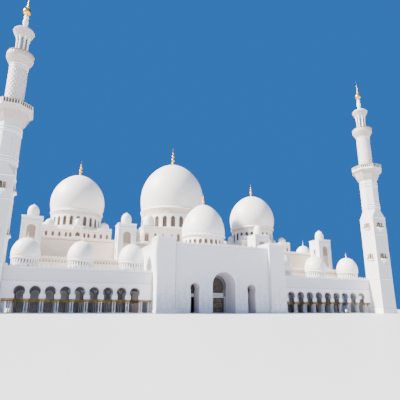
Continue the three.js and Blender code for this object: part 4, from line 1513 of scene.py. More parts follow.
    def build_parapets(self) -> None:
        """Cornices, dentils and merlons on the front wall, the pylons and the flanks; plinths below."""
        trim, crests, dark = Surface(), Surface(), Surface()
        front = Face(0, self.front)
        parapet(trim, crests, front, -self.pylon_inner, self.pylon_inner, self.top, 0.04, 0.09, dark)
        wide = (self.half - self.pylon_inner) / 2
        deep = (self.pylon_back - self.pylon_front) / 2
        foot = [(-0.004, 0), (0.018, 0), (0.018, 0.07), (0.012, 0.08), (0.012, 0.092), (-0.004, 0.1)]
        for _, side in SIDES:
            x, y = side * (self.half + self.pylon_inner) / 2, (self.pylon_front + self.pylon_back) / 2
            trim.add(belt(wide, deep, self.floor, foot), moved(x, y))
            for place, reach in box_faces(x, y, wide, deep):
                parapet(trim, crests, place, -reach, reach, self.pylon_top, 0.04, 0.09)
            # A painted shadow line down each pylon's front along its inner edge.
            u = side * (self.pylon_inner + 0.009)
            strip = bar((u, 0.12), (u, self.pylon_top - 0.08), 0.018, -0.001, 0.003)
            dark.add(strip, Face(0, self.pylon_front))
            length = (self.back - self.pylon_back) / 2
            flank = Face(side * self.half, self.pylon_back + length, side * TAU / 4)
            parapet(trim, crests, flank, -length, length, self.top)
            inner = Face(side * (self.half - 0.1), self.pylon_back + length, -side * TAU / 4)
            trim.add(ledge(-length, length, self.top - 0.03, staff(0.03)), inner)
            for u0, u1 in ((self.arch_half + 0.05, self.side_x - 0.21), (self.side_x + 0.21, self.pylon_inner)):
                ends = (u0, u1) if side > 0 else (-u1, -u0)
                trim.add(ledge(*ends, self.floor, foot), front)
        trim.piece("portal_cornices", Finish.TRIM)
        dark.piece("portal_shadow_lines", Finish.ASH_AND_SHADE)
        crests.piece("portal_merlons", Finish.TRIM)

    def build_inlay(self) -> None:
        """Climbing plants of coloured stone beside the arches and on the pylons."""
        green, rose = Surface(), Surface()
        face = Face(0, self.front)
        for _, side in SIDES:
            for u, height in ((0.6, 1.0), (0.78, 0.62), (1.4, 0.86), (1.62, 0.55)):
                Vine(side * u, self.floor + 0.1, height).add(green, rose, face)
            pylon = Face(side * (self.half + self.pylon_inner) / 2, self.pylon_front)
            for u, height in ((-0.2, 0.5), (0.02, 0.74), (0.22, 0.45)):
                Vine(u, self.floor + 0.1, height).add(green, rose, pylon)
        green.piece("portal_inlaid_stems", Finish.LEAF)
        rose.piece("portal_inlaid_flowers", Finish.ROSE)

    def build_slits(self) -> None:
        """The frames of the slit windows in the flank walls."""
        frames, screens = Surface(), Surface()
        for _, side in SIDES:
            place = Face(side * self.half, 0, side * TAU / 4)
            for y in (-3.44, -3.04):
                u = y * side
                line = np.array([[0.03, 1.74], [0.03, 1.96], [-0.03, 1.96], [-0.03, 1.74]]) + [u, 0]
                profile = [
                    (-0.003, -0.1), (-0.003, 0.008), (0.016, 0.008), (0.02, 0.0),
                    (0.02, -0.002), (0, -0.1),
                ]
                frames.add(moulding(line, profile, closed=True), place)
                for k in range(1, 6):
                    z = 1.74 + 0.22 * k / 6
                    screens.add(bar((u - 0.03, z), (u + 0.03, z), 0.006, -0.05, -0.044), place)
                screens.add(bar((u, 1.74), (u, 1.96), 0.006, -0.051, -0.043), place)
        frames.piece("portal_slit_frames", Finish.TRIM)
        screens.piece("portal_slit_screens", Finish.BRONZE)


@dataclass(frozen=True)
class Entrance:
    """The screen across the end of the entrance vault: arch rings, fanlight, transom and columns."""

    front: float = -3.65
    glass_y: float = -3.62
    radius: float = 0.35
    centre: float = 0.91
    neck: float = 0.325
    floor: float = 0.015
    transom_bottom: float = 0.534
    transom_top: float = 0.695

    def build(self) -> None:
        """Builds every part of it."""
        self.build_rings()
        self.build_fanlight()
        self.build_transom()
        self.build_columns()

    def head(self, radius: float, steps: int = 44) -> Array:
        """The line of a horseshoe about the same centre, down to the transom's top."""
        low = math.asin(min(1.0, (self.centre - self.transom_top) / radius))
        a = np.linspace(-low, math.pi + low, steps)
        return np.stack([radius * np.cos(a), self.centre + radius * np.sin(a)], -1)

    def build_rings(self) -> None:
        """Two stepped horseshoe rings on the screen, and the smooth edge of its opening."""
        face = Face(0, self.front)
        line = arch_line(
            self.neck, self.floor, self.centre, self.centre + self.radius, Head.HORSESHOE, 48
        )
        rings = Surface().add(liner(line, 0.06, 0.02, out=0.012), face)
        for away, size in ((0.034, 0.014), (0.058, 0.01)):
            profile = [(away, -0.001), (away, size), (away + size, size), (away + size, -0.001)]
            rings.add(moulding(self.head(self.radius), profile), face)
        jamb = [(0.02, -0.001), (0.02, 0.008), (0.09, 0.008), (0.09, -0.001)]
        rings.add(moulding(line, jamb), face)
        rings.piece("entrance_horseshoe_rings", Finish.SLATE_AND_SHADE)

    def build_fanlight(self) -> None:
        """Glass behind concentric rings and rays of bronze."""
        face = Face(0, self.glass_y)
        line = self.head(self.radius - 0.0045)
        glass = Surface().add(plate(line, -0.006, 0.0), face)
        glass.piece("fanlight_glass", Finish.GLASS, replaces=("entrance_fanlight",))
        lattice = Surface()
        section = [(-0.004, 0.0), (0.004, 0.0), (0.003, 0.01), (-0.003, 0.01)]
        for radius in (0.05, 0.1, 0.15, 0.2, 0.25, 0.3, 0.336):
            if radius > self.centre - self.transom_top:
                lattice.add(moulding(self.head(radius), section), face)
            else:
                a = np.linspace(0, TAU, 40, endpoint=False)
                ring = np.stack([radius * np.cos(a), self.centre + radius * np.sin(a)], -1)
                lattice.add(moulding(ring, section, closed=True), face)
        for k in range(24):
            a = TAU * k / 24
            far = self.radius - 0.008
            if math.sin(a) < 0:
                far = min(far, (self.centre - self.transom_top) / -math.sin(a))
            if far > 0.08:
                c, s = math.cos(a), math.sin(a)
                ends = [(r * c, self.centre + r * s) for r in (0.05, far)]
                lattice.add(bar(*ends, 0.006, 0.0, 0.008), face)
        for radius in (0.125, 0.225, 0.318):
            for k in range(24):
                a = TAU * (k + 0.5) / 24
                z = self.centre + radius * math.sin(a)
                if z > self.transom_top + 0.015:
                    lattice.add(shifted(star(0.014, 4, 0.45, 0.009), radius * math.cos(a), z), face)
        lattice.piece("fanlight_lattice_rings", Finish.BRONZE)

    def build_transom(self) -> None:
        """A pale band over the doors with an oval wreath and scrolls, framed above and below."""
        face = Face(0, self.front)
        middle = (self.transom_bottom + self.transom_top) / 2
        band = Surface()
        for z in (self.transom_bottom, self.transom_top - 0.016):
            band.add(ledge(-0.34, 0.34, z, staff(0.016)), face)
        a = np.linspace(0, TAU, 40, endpoint=False)
        ring = [(-0.004, -0.001), (0.004, -0.001), (0.002, 0.007), (-0.002, 0.007)]
        for wide, tall in ((0.155, 0.05), (0.125, 0.034)):
            oval = np.stack([wide * np.cos(a), middle + tall * np.sin(a)], -1)
            band.add(moulding(oval, ring, closed=True), face)
        s = np.linspace(0, 1, 30)
        for _, side in SIDES:
            u = side * (0.165 + 0.14 * s)
            scroll = np.stack([u, middle + 0.03 * np.sin(s * TAU * 1.5)], -1)
            band.add(moulding(scroll, ring), face)
        band.piece("transom_mouldings", Finish.TRIM)
        leaves = Surface()
        for _, side in SIDES:
            for k in range(6):
                u = side * (0.16 + 0.028 * k)
                leaves.add(shifted(star(0.014, 5, 0.5, 0.007), u, middle + 0.02 * (-1) ** k), face)
        oval = np.stack([0.15 * np.cos(a), middle + 0.045 * np.sin(a)], -1)
        leaves.add(plate(oval, -0.001, 0.004), face)
        leaves.add(shifted(star(0.04, 8, 0.5, 0.008), 0, middle, 0.002), face)
        leaves.piece("transom_inlaid_leaves", Finish.LEAF)

    def build_columns(self) -> None:
        """A pair of slim inlaid columns beside the doors, with plain white heads."""
        shafts, heads = Surface(), Surface()
        for _, side in SIDES:
            for u, d in ((0.365, -0.03), (0.405, -0.06)):
                here = moved(side * u, self.front + d)
                shafts.add(column(0.012, self.floor, self.transom_bottom, 16), here)
                cup = [(0.0, 0.0), (0.014, 0.0), (0.014, 0.01), (0.022, 0.03), (0.022, 0.038), (0, 0.038)]
                heads.add(lathe([(r, self.transom_bottom + z) for r, z in cup], 16), here)
        shafts.piece("entrance_columns", Finish.INLAY)
        heads.piece("entrance_column_heads", Finish.VAULT)


@dataclass(frozen=True)
class Doors:
    """The dressing of the two leaves, each on its own body."""

    middle_y: float = -3.62
    face_out: float = 0.005
    inner: float = 0.0035
    outer: float = 0.318
    bottom: float = 0.02
    top: float = 0.529
    stile: float = 0.024
    raised: float = 0.0035

    def build(self) -> None:
        """Builds frames, lattices and pulls on both faces of both leaves."""
        for name, side in SIDES:
            frame, lattice = Surface(), Surface()
            for angle in (0.0, math.pi):
                place = Face(0, self.middle_y, angle)
                self.dress(frame, lattice, place, side if angle == 0 else -side)
            frame.piece(f"{name}_door_frame", Finish.DOOR, body=f"{name}_door")
            lattice.piece(f"{name}_door_lattice", Finish.DOOR_TRIM, body=f"{name}_door")

    def dress(self, frame: Surface, lattice: Surface, place: Place, side: int) -> None:
        """Adds one face's stiles, rails, lattice and pull.

        Args:
            frame: The surface of the frame.
            lattice: The surface of the lattice.
            place: The leaf's face.
            side: The side of the middle that the leaf is on, as seen on that face.
        """
        near, far = self.face_out - 0.0005, self.face_out + self.raised
        w = self.stile
        ends = (self.inner + 0.001, self.outer - 0.001)
        for u in (ends[0] + w / 2, ends[1] - w / 2):
            frame.add(bar((side * u, self.bottom + 0.001), (side * u, self.top - 0.001), w, near, far), place)
        inside = (ends[0] + w, ends[1] - w)
        heights = (self.bottom + w * 0.9, 0.15, 0.37, self.top - w * 0.6)
        for z in heights:
            frame.add(bar((side * inside[0], z), (side * inside[1], z), w * 0.8, near, far), place)
        columns = 6
        step = (inside[1] - inside[0]) / columns
        for k in range(1, columns):
            u = side * (inside[0] + step * k)
            lattice.add(bar((u, self.bottom + w), (u, self.top - w), 0.005, near, far - 0.001), place)
        for low, high in zip(heights[:-1], heights[1:]):
            rows = max(1, round((high - low - w) / step))
            for i in range(rows):
                z = low + w * 0.5 + (high - low - w) * (i + 0.5) / rows
                for k in range(columns):
                    u = side * (inside[0] + step * (k + 0.5))
                    lattice.add(shifted(star(step * 0.42, 4, 0.5, 0.0032), u, z, near), place)
        u = side * (self.inner + w * 0.6)
        lattice.add(bar((u, 0.22), (u, 0.32), 0.006, far - 0.0005, far + 0.003), place)


# Arcades and gallery


@dataclass(frozen=True)
class Arcade:
    """One arcade: horseshoe arches over clusters of four slim columns, and the gallery behind."""

    name: str
    side: int
    front: float = -4.0
    back: float = -2.66
    wall: float = 0.14
    inner: float = 2.43
    outer: float = 6.925
    top: float = 1.34
    floor: float = 0.015
    first: float = 3.01
    step: float = 0.427
    count: int = 9
    radius: float = 0.152
    centre: float = 0.633
    neck: float = 0.125
    impost: float = 0.062
    impost_bottom: float = 0.33
    impost_top: float = 0.424
    end_bay: float = 0.19
    gallery_outer: float = 6.72
    gallery_end: float = -1.4
    gallery_top: float = 1.8

    def build(self) -> None:
        """Builds every part of it."""
        self.build_arches()
        self.build_columns()
        self.build_parapet()
        self.build_gallery()

    def arches(self) -> list[float]:
        """The middle of each arch along the front."""
        return [self.side * (self.first + self.step * i) for i in range(self.count)]

    def clusters(self) -> list[float]:
        """The middle of each cluster of columns, from the portal outwards."""
        first = self.first - self.step / 2
        places = [self.inner + self.impost + 0.006]
        places += [first + self.step * i for i in range(self.count + 1)]
        places.append(first + self.step * self.count + self.end_bay)
        return [self.side * p for p in places]

    def build_arches(self) -> None:
        """The soffit and the ring in each horseshoe head, painted dark as their shade, white rims around them,
        and rings of stars.
        """
        face = Face(0, self.front)
        rims, painted_shade_soffits, stars = Surface(), Surface(), Surface()
        top = self.centre + self.radius
        head = arch_line(self.neck, self.impost_top, self.centre, top, Head.HORSESHOE, 32)
        low = math.acos(self.neck / self.radius)
        a = np.linspace(-low, math.pi + low, 32)
        circle = np.stack([self.radius * np.cos(a), self.centre + self.radius * np.sin(a)], -1)
        small = star(0.013, 4, 0.5, 0.006)
        inset, deep = 0.003, self.wall
        soffit = [(-inset, -0.01), (0.002, -0.01), (0.002, -deep - 0.004), (-inset, -deep - 0.004)]
        edge = [(-inset, -0.01), (-inset, 0.003), (0.01, 0.003), (0.012, -0.001), (0.0, -0.001)]
        ring = [(-inset - 0.0015, -0.008), (-inset - 0.0015, 0.006), (0.016, 0.006), (0.016, -0.001)]
        rim = [(0.0155, -0.001), (0.0155, 0.01), (0.03, 0.012), (0.036, 0.004), (0.036, -0.001)]
        back = [
            (-inset, -deep - 0.003), (0.022, -deep + 0.001),
            (0.022, -deep - 0.006), (-inset, -deep - 0.006),
        ]
        for x in self.arches():
            for line, profile in ((head, edge), (circle, rim), (head, back)):
                rims.add(moulding(line + [x, 0], profile), face)
            # Painted shade: the soffit and the ring under each head are coloured dark as the shade inside the
            # arch.
            painted_shade_soffits.add(moulding(head + [x, 0], soffit), face)
            painted_shade_soffits.add(moulding(circle + [x, 0], ring), face)
            for a in np.linspace(-0.45, math.pi + 0.45, 17):
                u, z = x + 0.204 * math.cos(a), self.centre + 0.204 * math.sin(a)
                stars.add(shifted(small, u, z), face)
        rims.piece(f"{self.name}_arcade_arch_rims", Finish.TRIM)
        painted_shade_soffits.piece(f"{self.name}_arcade_soffits", Finish.SLATE_AND_SHADE)
        stars.piece(f"{self.name}_arcade_arch_stars", Finish.ASH_AND_SHADE)

    def build_columns(self) -> None:
        """The floor, the inlaid shafts on their bases, and the gilded capitals and lintels."""
        middle = self.front + self.wall / 2
        x0, x1 = sorted((self.side * self.inner, self.side * self.outer))
        base, shafts, gold = Surface(), Surface(), Surface()
        base.add(block(x0, x1, self.front, self.back, 0.0, self.floor))
        foot = [(-0.062, 0), (0.0, 0), (0.0, 0.018), (-0.008, 0.024), (-0.008, 0.03), (-0.062, 0.03)]
        band = [
            (-0.03, 0.0), (-0.004, 0.0), (-0.012, 0.012), (0.0, 0.03), (0.004, 0.034), (0.004, 0.05),
            (0.0, 0.054), (0.0, 0.07), (0.006, 0.076), (0.006, 0.094), (-0.03, 0.094),
        ]
        for x in self.clusters():
            base.add(belt(self.impost, self.impost, self.floor, foot), moved(x, middle))
            base.add(block(x - 0.05, x + 0.05, middle - 0.05, middle + 0.05, self.floor, self.floor + 0.029))
            gold.add(belt(self.impost, self.impost, self.impost_bottom, band), moved(x, middle))
            for dx in (-0.036, 0.036):
                for dy in (-0.036, 0.036):
                    here = moved(x + dx, middle + dy)
                    shafts.add(column(0.0135, self.floor + 0.03, self.impost_bottom + 0.002), here)
                    cup = [(0, 0.0), (0.016, 0.0), (0.019, 0.006), (0.016, 0.012), (0.024, 0.034), (0, 0.034)]
                    bottom = self.impost_bottom - 0.032
                    gold.add(lathe([(r, bottom + z) for r, z in cup], 12), here)
            sides = (x - 0.04, x + 0.04, middle - 0.04, middle + 0.04)
            gold.add(block(*sides, self.impost_bottom, self.impost_top))
        places = self.clusters()
        for a, b in ((places[0], places[1]), (places[-2], places[-1])):
            lo, hi = sorted((a, b))
            y0, y1 = self.front - 0.004, self.front + self.wall + 0.004
            gold.add(block(lo + 0.058, hi - 0.058, y0, y1, self.impost_top - 0.045, self.impost_top - 0.001))
        nodes = (f"{self.name}_arcade_columns",)
        base.piece(f"{self.name}_arcade_floor", Finish.PAVING, replaces=nodes)
        shafts.piece(f"{self.name}_arcade_shafts", Finish.INLAY)
        gold.piece(f"{self.name}_arcade_gold_band", Finish.GOLD_TRIM)

    def build_parapet(self) -> None:
        """The cornice and merlons on the front and the end, a string course and dark stars."""
        trim, crests, dark = Surface(), Surface(), Surface()
        face = Face(0, self.front)
        ends = sorted((self.side * self.inner, self.side * self.outer))
        parapet(trim, crests, face, *ends, self.top, 0.045, 0.13, dark)
        trim.add(ledge(*ends, 0.895, staff(0.009)), face)
        count = round((ends[1] - ends[0]) / 0.085)
        for k in range(count):
            u = ends[0] + (ends[1] - ends[0]) * (k + 0.5) / count
            dark.add(shifted(star(0.026, 4, 0.6, 0.006), u, 0.935), face)
        length = (self.back - self.front) / 2
        side = Face(self.side * self.outer, self.front + length, self.side * TAU / 4)
        parapet(trim, crests, side, -length, length, self.top, 0.045, 0.13, dark)
        trim.piece(f"{self.name}_arcade_cornice", Finish.TRIM)
        crests.piece(f"{self.name}_arcade_merlons", Finish.TRIM)
        dark.piece(f"{self.name}_arcade_shadow_lines", Finish.ASH_AND_SHADE)

    def build_gallery(self) -> None:
        """The shaded wall behind the arcade: dark plates of painted shade over it, door frames, lunettes in
        painted shade and half columns.
        """
        face = Face(0, self.back)
        frames, painted_shade_wall, rings = Surface(), Surface(), Surface()
        door = arch_line(0.13, self.floor, 0.56, 0.7, Head.ROUND, 20)
        # Painted shade: dark plates around the doors and over the upper wall stand in for the shade behind the
        # arcade.
        shade_band = [(0.014, -0.001), (0.014, 0.005), (0.0835, 0.005), (0.0835, -0.001)]
        ring = [(0.0, 0.004), (0.0, 0.012), (0.008, 0.016), (0.016, 0.012), (0.016, 0.004)]
        for x in self.arches():
            frames.add(liner(door + [x, 0], 0.1, 0.012, skin=0.006), face)
            painted_shade_wall.add(moulding(door + [x, 0], shade_band), face)
            for radius in (0.165, 0.205):
                line = arch_line(radius * 0.8, 0.4, 0.64, 0.64 + radius, Head.HORSESHOE, 24)
                rings.add(moulding(line + [x, 0], ring), face)
        ends = sorted((self.side * (self.inner + 0.1), self.side * (self.outer - 0.1)))
        painted_shade_wall.add(ledge(*ends, 0.74, [(-0.001, 0), (0.0045, 0), (0.0045, 0.5), (-0.001, 0.5)]), face)
        frames.piece(f"{self.name}_gallery_door_frames", Finish.ASH_AND_SHADE)
        painted_shade_wall.piece(f"{self.name}_gallery_cladding", Finish.PAINTED_SHADE)
        # The lunettes' rings are slate grey as painted shade.
        rings.piece(f"{self.name}_gallery_lunettes", Finish.SLATE_AND_SHADE)
        self.build_gallery_screens()
        self.build_half_columns()
        self.build_gallery_parapet()

    def build_gallery_screens(self) -> None:
        """Fixed screens in the doorways: bronze bars before dark glass, and a grey stone head."""
        face = Face(0, self.back)
        glass, bars, heads = Surface(), Surface(), Surface()
        half, transom = 0.1235, self.impost_top - 0.004
        head = arch_line(half, transom, 0.56, 0.693, Head.ROUND, 16)
        pane = np.array([[half, self.floor], [half, transom], [-half, transom], [-half, self.floor]])
        bead = [(-0.004, 0.0), (0.004, 0.0), (0.003, 0.01), (-0.003, 0.01)]
        a = np.linspace(0, TAU, 28, endpoint=False)
        circle = np.stack([np.cos(a), np.sin(a)], -1)
        for x in self.arches():
            glass.add(plate(pane + [x, 0], -0.062, -0.056), face)
            heads.add(plate(head + [x, 0], -0.062, -0.054), face)
            for radius in (0.034, 0.072):
                bars.add(shifted(moulding(circle * radius + [x, 0.565], bead, closed=True), 0, 0, -0.055), face)
            for u in np.linspace(-half + 0.006, half - 0.006, 5):
                bars.add(bar((x + u, self.floor), (x + u, transom), 0.007, -0.058, -0.046), face)
            for z in (0.03, 0.12, 0.22, transom - 0.006):
                bars.add(bar((x - half, z), (x + half, z), 0.007, -0.058, -0.047), face)
        glass.piece(f"{self.name}_gallery_screen_glass", Finish.GLASS)
        heads.piece(f"{self.name}_gallery_screen_heads", Finish.ASH_AND_SHADE)
        bars.piece(f"{self.name}_gallery_screen_bars", Finish.BRONZE)

    def build_half_columns(self) -> None:
        """Slim paired columns before the gallery wall, behind the front ones, with gilded heads."""
        shafts, gold = Surface(), Surface()
        for x in self.clusters()[1:-1]:
            for dx in (-0.03, 0.03):
                here = moved(x + dx, self.back - 0.026)
                shafts.add(column(0.012, self.floor, self.impost_bottom + 0.002), here)
            y0, y1 = self.back - 0.05, self.back - 0.004
            gold.add(block(x - 0.055, x + 0.055, y0, y1, self.impost_bottom, self.impost_top))
            for z, more in ((self.impost_bottom - 0.02, 0.003), (self.impost_top - 0.02, 0.006)):
                gold.add(block(x - 0.05 - more, x + 0.05 + more, y0 - more, y1, z, z + 0.024))
        x0, x1 = sorted((self.side * (self.inner + 0.1), self.side * (self.outer - 0.1)))
        y0, y1 = self.back - 0.014, self.back - 0.001
        gold.add(block(x0, x1, y0, y1, self.impost_bottom + 0.004, self.impost_top - 0.004), moved(0, 0))
        shafts.piece(f"{self.name}_gallery_half_columns", Finish.INLAY)
        gold.piece(f"{self.name}_gallery_gold_heads", Finish.GOLD_TRIM)

    def build_gallery_parapet(self) -> None:
        """The gallery's cornice and merlons over a row of small niches drawn as flat plates of painted shade.
        """
        face = Face(0, self.back)
        trim, crests, dark = Surface(), Surface(), Surface()
        ends = sorted((self.side * self.inner, self.side * self.gallery_outer))
        reach = (self.gallery_end - self.back) / 2
        side = Face(self.side * self.gallery_outer, self.back + reach, self.side * TAU / 4)
        for place, u0, u1 in ((face, *ends), (side, -reach, reach)):
            parapet(trim, crests, place, u0, u1, self.gallery_top, 0.035, 0.1, dark)
            trim.add(ledge(u0, u1, 1.635, staff(0.012)), place)
            trim.add(ledge(u0, u1, 1.48, staff(0.01)), place)
            count = round((u1 - u0) / 0.1)
            for k in range(count):
                u = u0 + (u1 - u0) * (k + 0.5) / count
                # Each niche is a flat plate coloured dark as painted shade.
                dark.add(plate(window_line(0.027, 1.655, 1.728, 4) + [u, 0], -0.001, 0.004), place)
        trim.piece(f"{self.name}_gallery_cornice", Finish.CREAM)
        crests.piece(f"{self.name}_gallery_merlons", Finish.TRIM)
        dark.piece(f"{self.name}_gallery_niche_shades", Finish.BROWN_AND_SHADE)


# Hall


@dataclass(frozen=True)
class Hall:
    """The dressing of the hall's walls: cornices and merlons all round, and
    pilasters and blind windows but on the front.
    """

    half: float = 6.72
    front: float = -1.4
    back: float = 4.825
    top: float = 2.7
    bay: float = 0.84

    def build(self) -> None:
        """Builds every part of it."""
        trim, crests, dark = Surface(), Surface(), Surface()
        windows = Windows("hall")
        deep = (self.back - self.front) / 2
        for k, (place, reach) in enumerate(box_faces(0, self.front + deep, self.half, deep)):
            parapet(trim, crests, place, -reach, reach, self.top, 0.05, 0.095, dark)
            if k > 0:
                self.wall(trim, windows, place, reach)
        dark.piece("hall_shadow_lines", Finish.BROWN_AND_SHADE)
        trim.piece("hall_cornices", Finish.CREAM)
        crests.piece("hall_merlons", Finish.TRIM)
        windows.pieces()

    def wall(self, trim: Surface, windows: Windows, place: Place, reach: float) -> None:
        """Adds the bays of one wall: pilasters, tall blind windows and small ones above.

        Args:
            trim: The surface of the mouldings.
            windows: The windows.
            place: The wall's face.
            reach: Half its length.
        """
        count = round(2 * reach / self.bay)
        step = 2 * reach / count
        foot = [(-0.004, 0), (0.02, 0), (0.02, 0.1), (0.012, 0.12), (-0.004, 0.14)]
        trim.add(ledge(-reach, reach, 0.015, foot), place)
        trim.add(ledge(-reach, reach, 1.9, staff(0.03)), place)
        for k in range(count + 1):
            u = min(max(-reach + step * k, -reach + 0.05), reach - 0.05)
            trim.add(bar((u, 0.15), (u, 2.58), 0.07, -0.002, 0.014), place)
        for k in range(count):
            u = -reach + step * (k + 0.5)
            windows.add(place, 0.17, 0.55, 1.65, u, sunk=-0.004, rim=0.03)
            windows.add(place, 0.07, 2.1, 2.4, u, sunk=-0.003, rim=0.018)


@dataclass(frozen=True)
class Tower:
    """The dressing of one square tower on the gallery roof."""

    name: str
    x: float
    half: float = 0.34
    front: float = -2.08
    back: float = -1.4
    base: float = 1.8
    top: float = 3.32
    dome_top: float = 3.79

    def build(self) -> None:
        """Builds the cornices, the niche, the star net, the windows and the cap."""
        trim, stone, stars = Surface(), Surface(), Surface()
        face = Face(self.x, self.front)
        middle = (self.front + self.back) / 2
        niche = arch_line(0.155, 2.05, 2.87, 3.02, Head.ROUND, 24)
        frame = [
            (-0.004, -0.031), (-0.004, 0.008), (0.018, 0.008), (0.024, 0.002),
            (0.024, -0.002), (0, -0.031),
        ]
        trim.add(moulding(niche, frame), face)
        outer = [(0.036, -0.001), (0.036, 0.006), (0.046, 0.006), (0.046, -0.001)]
        trim.add(moulding(niche, outer), face)
        # Painted shade in the niche: its back is dark ivory below and darker brown in the head, standing in for
        # the shade under its arch.
        back = arch_line(0.15, 2.06, 2.87, 3.01, Head.ROUND, 20)
        Surface().add(plate(back, -0.032, -0.0285), face).piece(f"{self.name}_niche_back_shade", Finish.SHADED_IVORY)
        upper = arch_line(0.146, 2.56, 2.87, 3.006, Head.ROUND, 20)
        Surface().add(plate(upper, -0.0295, -0.025), face).piece(f"{self.name}_niche_head_shade", Finish.BROWN_AND_SHADE)
        deep = (self.back - self.front) / 2
        for z, size in ((self.top - 0.05, 0.05), (3.11, 0.02), (self.base, 0.04)):
            trim.add(belt(self.half, deep, z, cornice(size * 0.4, size)), moved(self.x, middle))
        self.net(stars, face)
        windows = Windows(self.name)
        for side in (-1, 1):
            place = Face(self.x + side * self.half, middle, side * TAU / 4)
            windows.add(place, 0.04, 2.62, 2.85, rim=0.01, sunk=0.03, bars=False, band=0.036)
            windows.add(place, 0.06, 2.04, 2.36, rim=0.012, sunk=-0.002, bars=False)
            self.side_net(stars, place, deep)
        Cap(self.x, middle, 0.195, self.top, self.dome_top + 0.005, 0.4).add(stone)
        stars.piece(f"{self.name}_star_net", Finish.ASH_AND_SHADE)
        trim.piece(f"{self.name}_mouldings", Finish.TRIM)
        stone.piece(f"{self.name}_cap", Finish.DOME)
        windows.pieces(Finish.SCREEN, Finish.SCREEN)

    def net(self, stars: Surface, face: Place) -> None:
        """Stars all over the front, around the niche."""
        step = 0.062
        shape = star(step * 0.46, 4, 0.42, 0.007)
        for row in range(24):
            z = 1.88 + row * step
            for col in range(-5, 6):
                u = (col + 0.5 * (row % 2)) * step
                near_niche = abs(u) < 0.22 and z < 3.08
                near_belt = abs(z - 3.12) < 0.035 or z > self.top - 0.08
                if abs(u) < self.half - 0.03 and not near_niche and not near_belt:
                    stars.add(shifted(shape, u, z), face)

    def side_net(self, stars: Surface, place: Place, deep: float) -> None:
        """Stars in a band under the cornice of a side face."""
        step = 0.062
        shape = star(step * 0.46, 4, 0.42, 0.007)
        for row in range(2):
            for col in range(-4, 5):
                u = (col + 0.5 * (row % 2)) * step
                if abs(u) < deep - 0.05:
                    stars.add(shifted(shape, u, 3.16 + row * step * 0.8), place)


@dataclass(frozen=True)
class DomeBlock:
    """The dressing of one square block under a dome: windows, parapet and turrets with caps."""

    name: str
    x: float
    y: float
    half: float
    top: float
    windows: tuple[tuple[float, float, float, float], ...]
    turrets: tuple[tuple[float, float, float, float, float, float], ...]

    def build(self) -> None:
        """Builds every part of it."""
        trim, crests, stone, dark = Surface(), Surface(), Surface(), Surface()
        windows = Windows(self.name)
        for place, reach in box_faces(self.x, self.y, self.half, self.half):
            parapet(trim, crests, place, -reach, reach, self.top, 0.045, 0.09, dark)
            trim.add(ledge(-reach, reach, 2.95, staff(0.022)), place)
            for offset, half, sill, head in self.windows:
                for u in {offset, -offset}:
                    band = 0.024 if half > 0.05 else 0.013
                    windows.add(place, half, sill, head, u, sunk=0.045, rim=0.014, bars=half > 0.05, band=band)
        for dx, dy, half, top, radius, dome_top in self.turrets:
            x, y = self.x + dx, self.y + dy
            for z, size in ((top - 0.04, 0.04), (top - 0.14, 0.02)):
                trim.add(belt(half, half, z, cornice(size * 0.5, size)), moved(x, y))
            for place, reach in box_faces(x, y, half, half):
                crest(crests, place, -reach, reach, top, 0.07)
            Cap(x, y, radius * 1.05, top, dome_top + 0.015).add(stone)
        trim.piece(f"{self.name}_mouldings", Finish.TRIM)
        crests.piece(f"{self.name}_merlons", Finish.TRIM)
        stone.piece(f"{self.name}_turret_caps", Finish.DOME)
        dark.piece(f"{self.name}_shadow_lines", Finish.BROWN_AND_SHADE)
        windows.pieces(Finish.BROWN_AND_SHADE, Finish.SCREEN)


def turret_corners(at: float, *sizes: float) -> tuple[tuple[float, ...], ...]:
    """The four corner turrets of a block, all of one size."""
    return tuple((sx * at, sy * at, *sizes) for sx in (-1, 1) for sy in (-1, 1))


def dome_blocks() -> list[DomeBlock]:
    """The block under the main dome and those under the side domes."""
    main = DomeBlock(
        "main_block", 0, 1.73, 1.9, 3.67,
        (
            (1.74, 0.08, 3.02, 3.37), (1.35, 0.045, 3.26, 3.39), (1.005, 0.045, 3.26, 3.39),
            (0.555, 0.045, 3.26, 3.39), (0.26, 0.055, 3.05, 3.43),
        ),
        turret_corners(1.59, 0.31, 3.68, 0.25, 4.26),
    )
    small = ((1.24, 0.042), (0.98, 0.042), (0.72, 0.042), (0.46, 0.042), (0.285, 0.042))
    middle = tuple(
        (dx * 1.33, dy * 1.33, 0.2, 3.51, 0.15, 3.86) for dx, dy in ((1, 0), (-1, 0), (0, 1), (0, -1))
    )
    sides = [
        DomeBlock(
            f"{name}_block", side * 4.64, 1.68, 1.42, 3.36,
            (*((offset, half, 3.05, 3.24) for offset, half in small), (0.0, 0.095, 3.07, 3.29)),
            (*turret_corners(1.13, 0.29, 3.47, 0.195, 3.79), *middle),
        )
        for name, side in SIDES
    ]
    return [main, *sides]


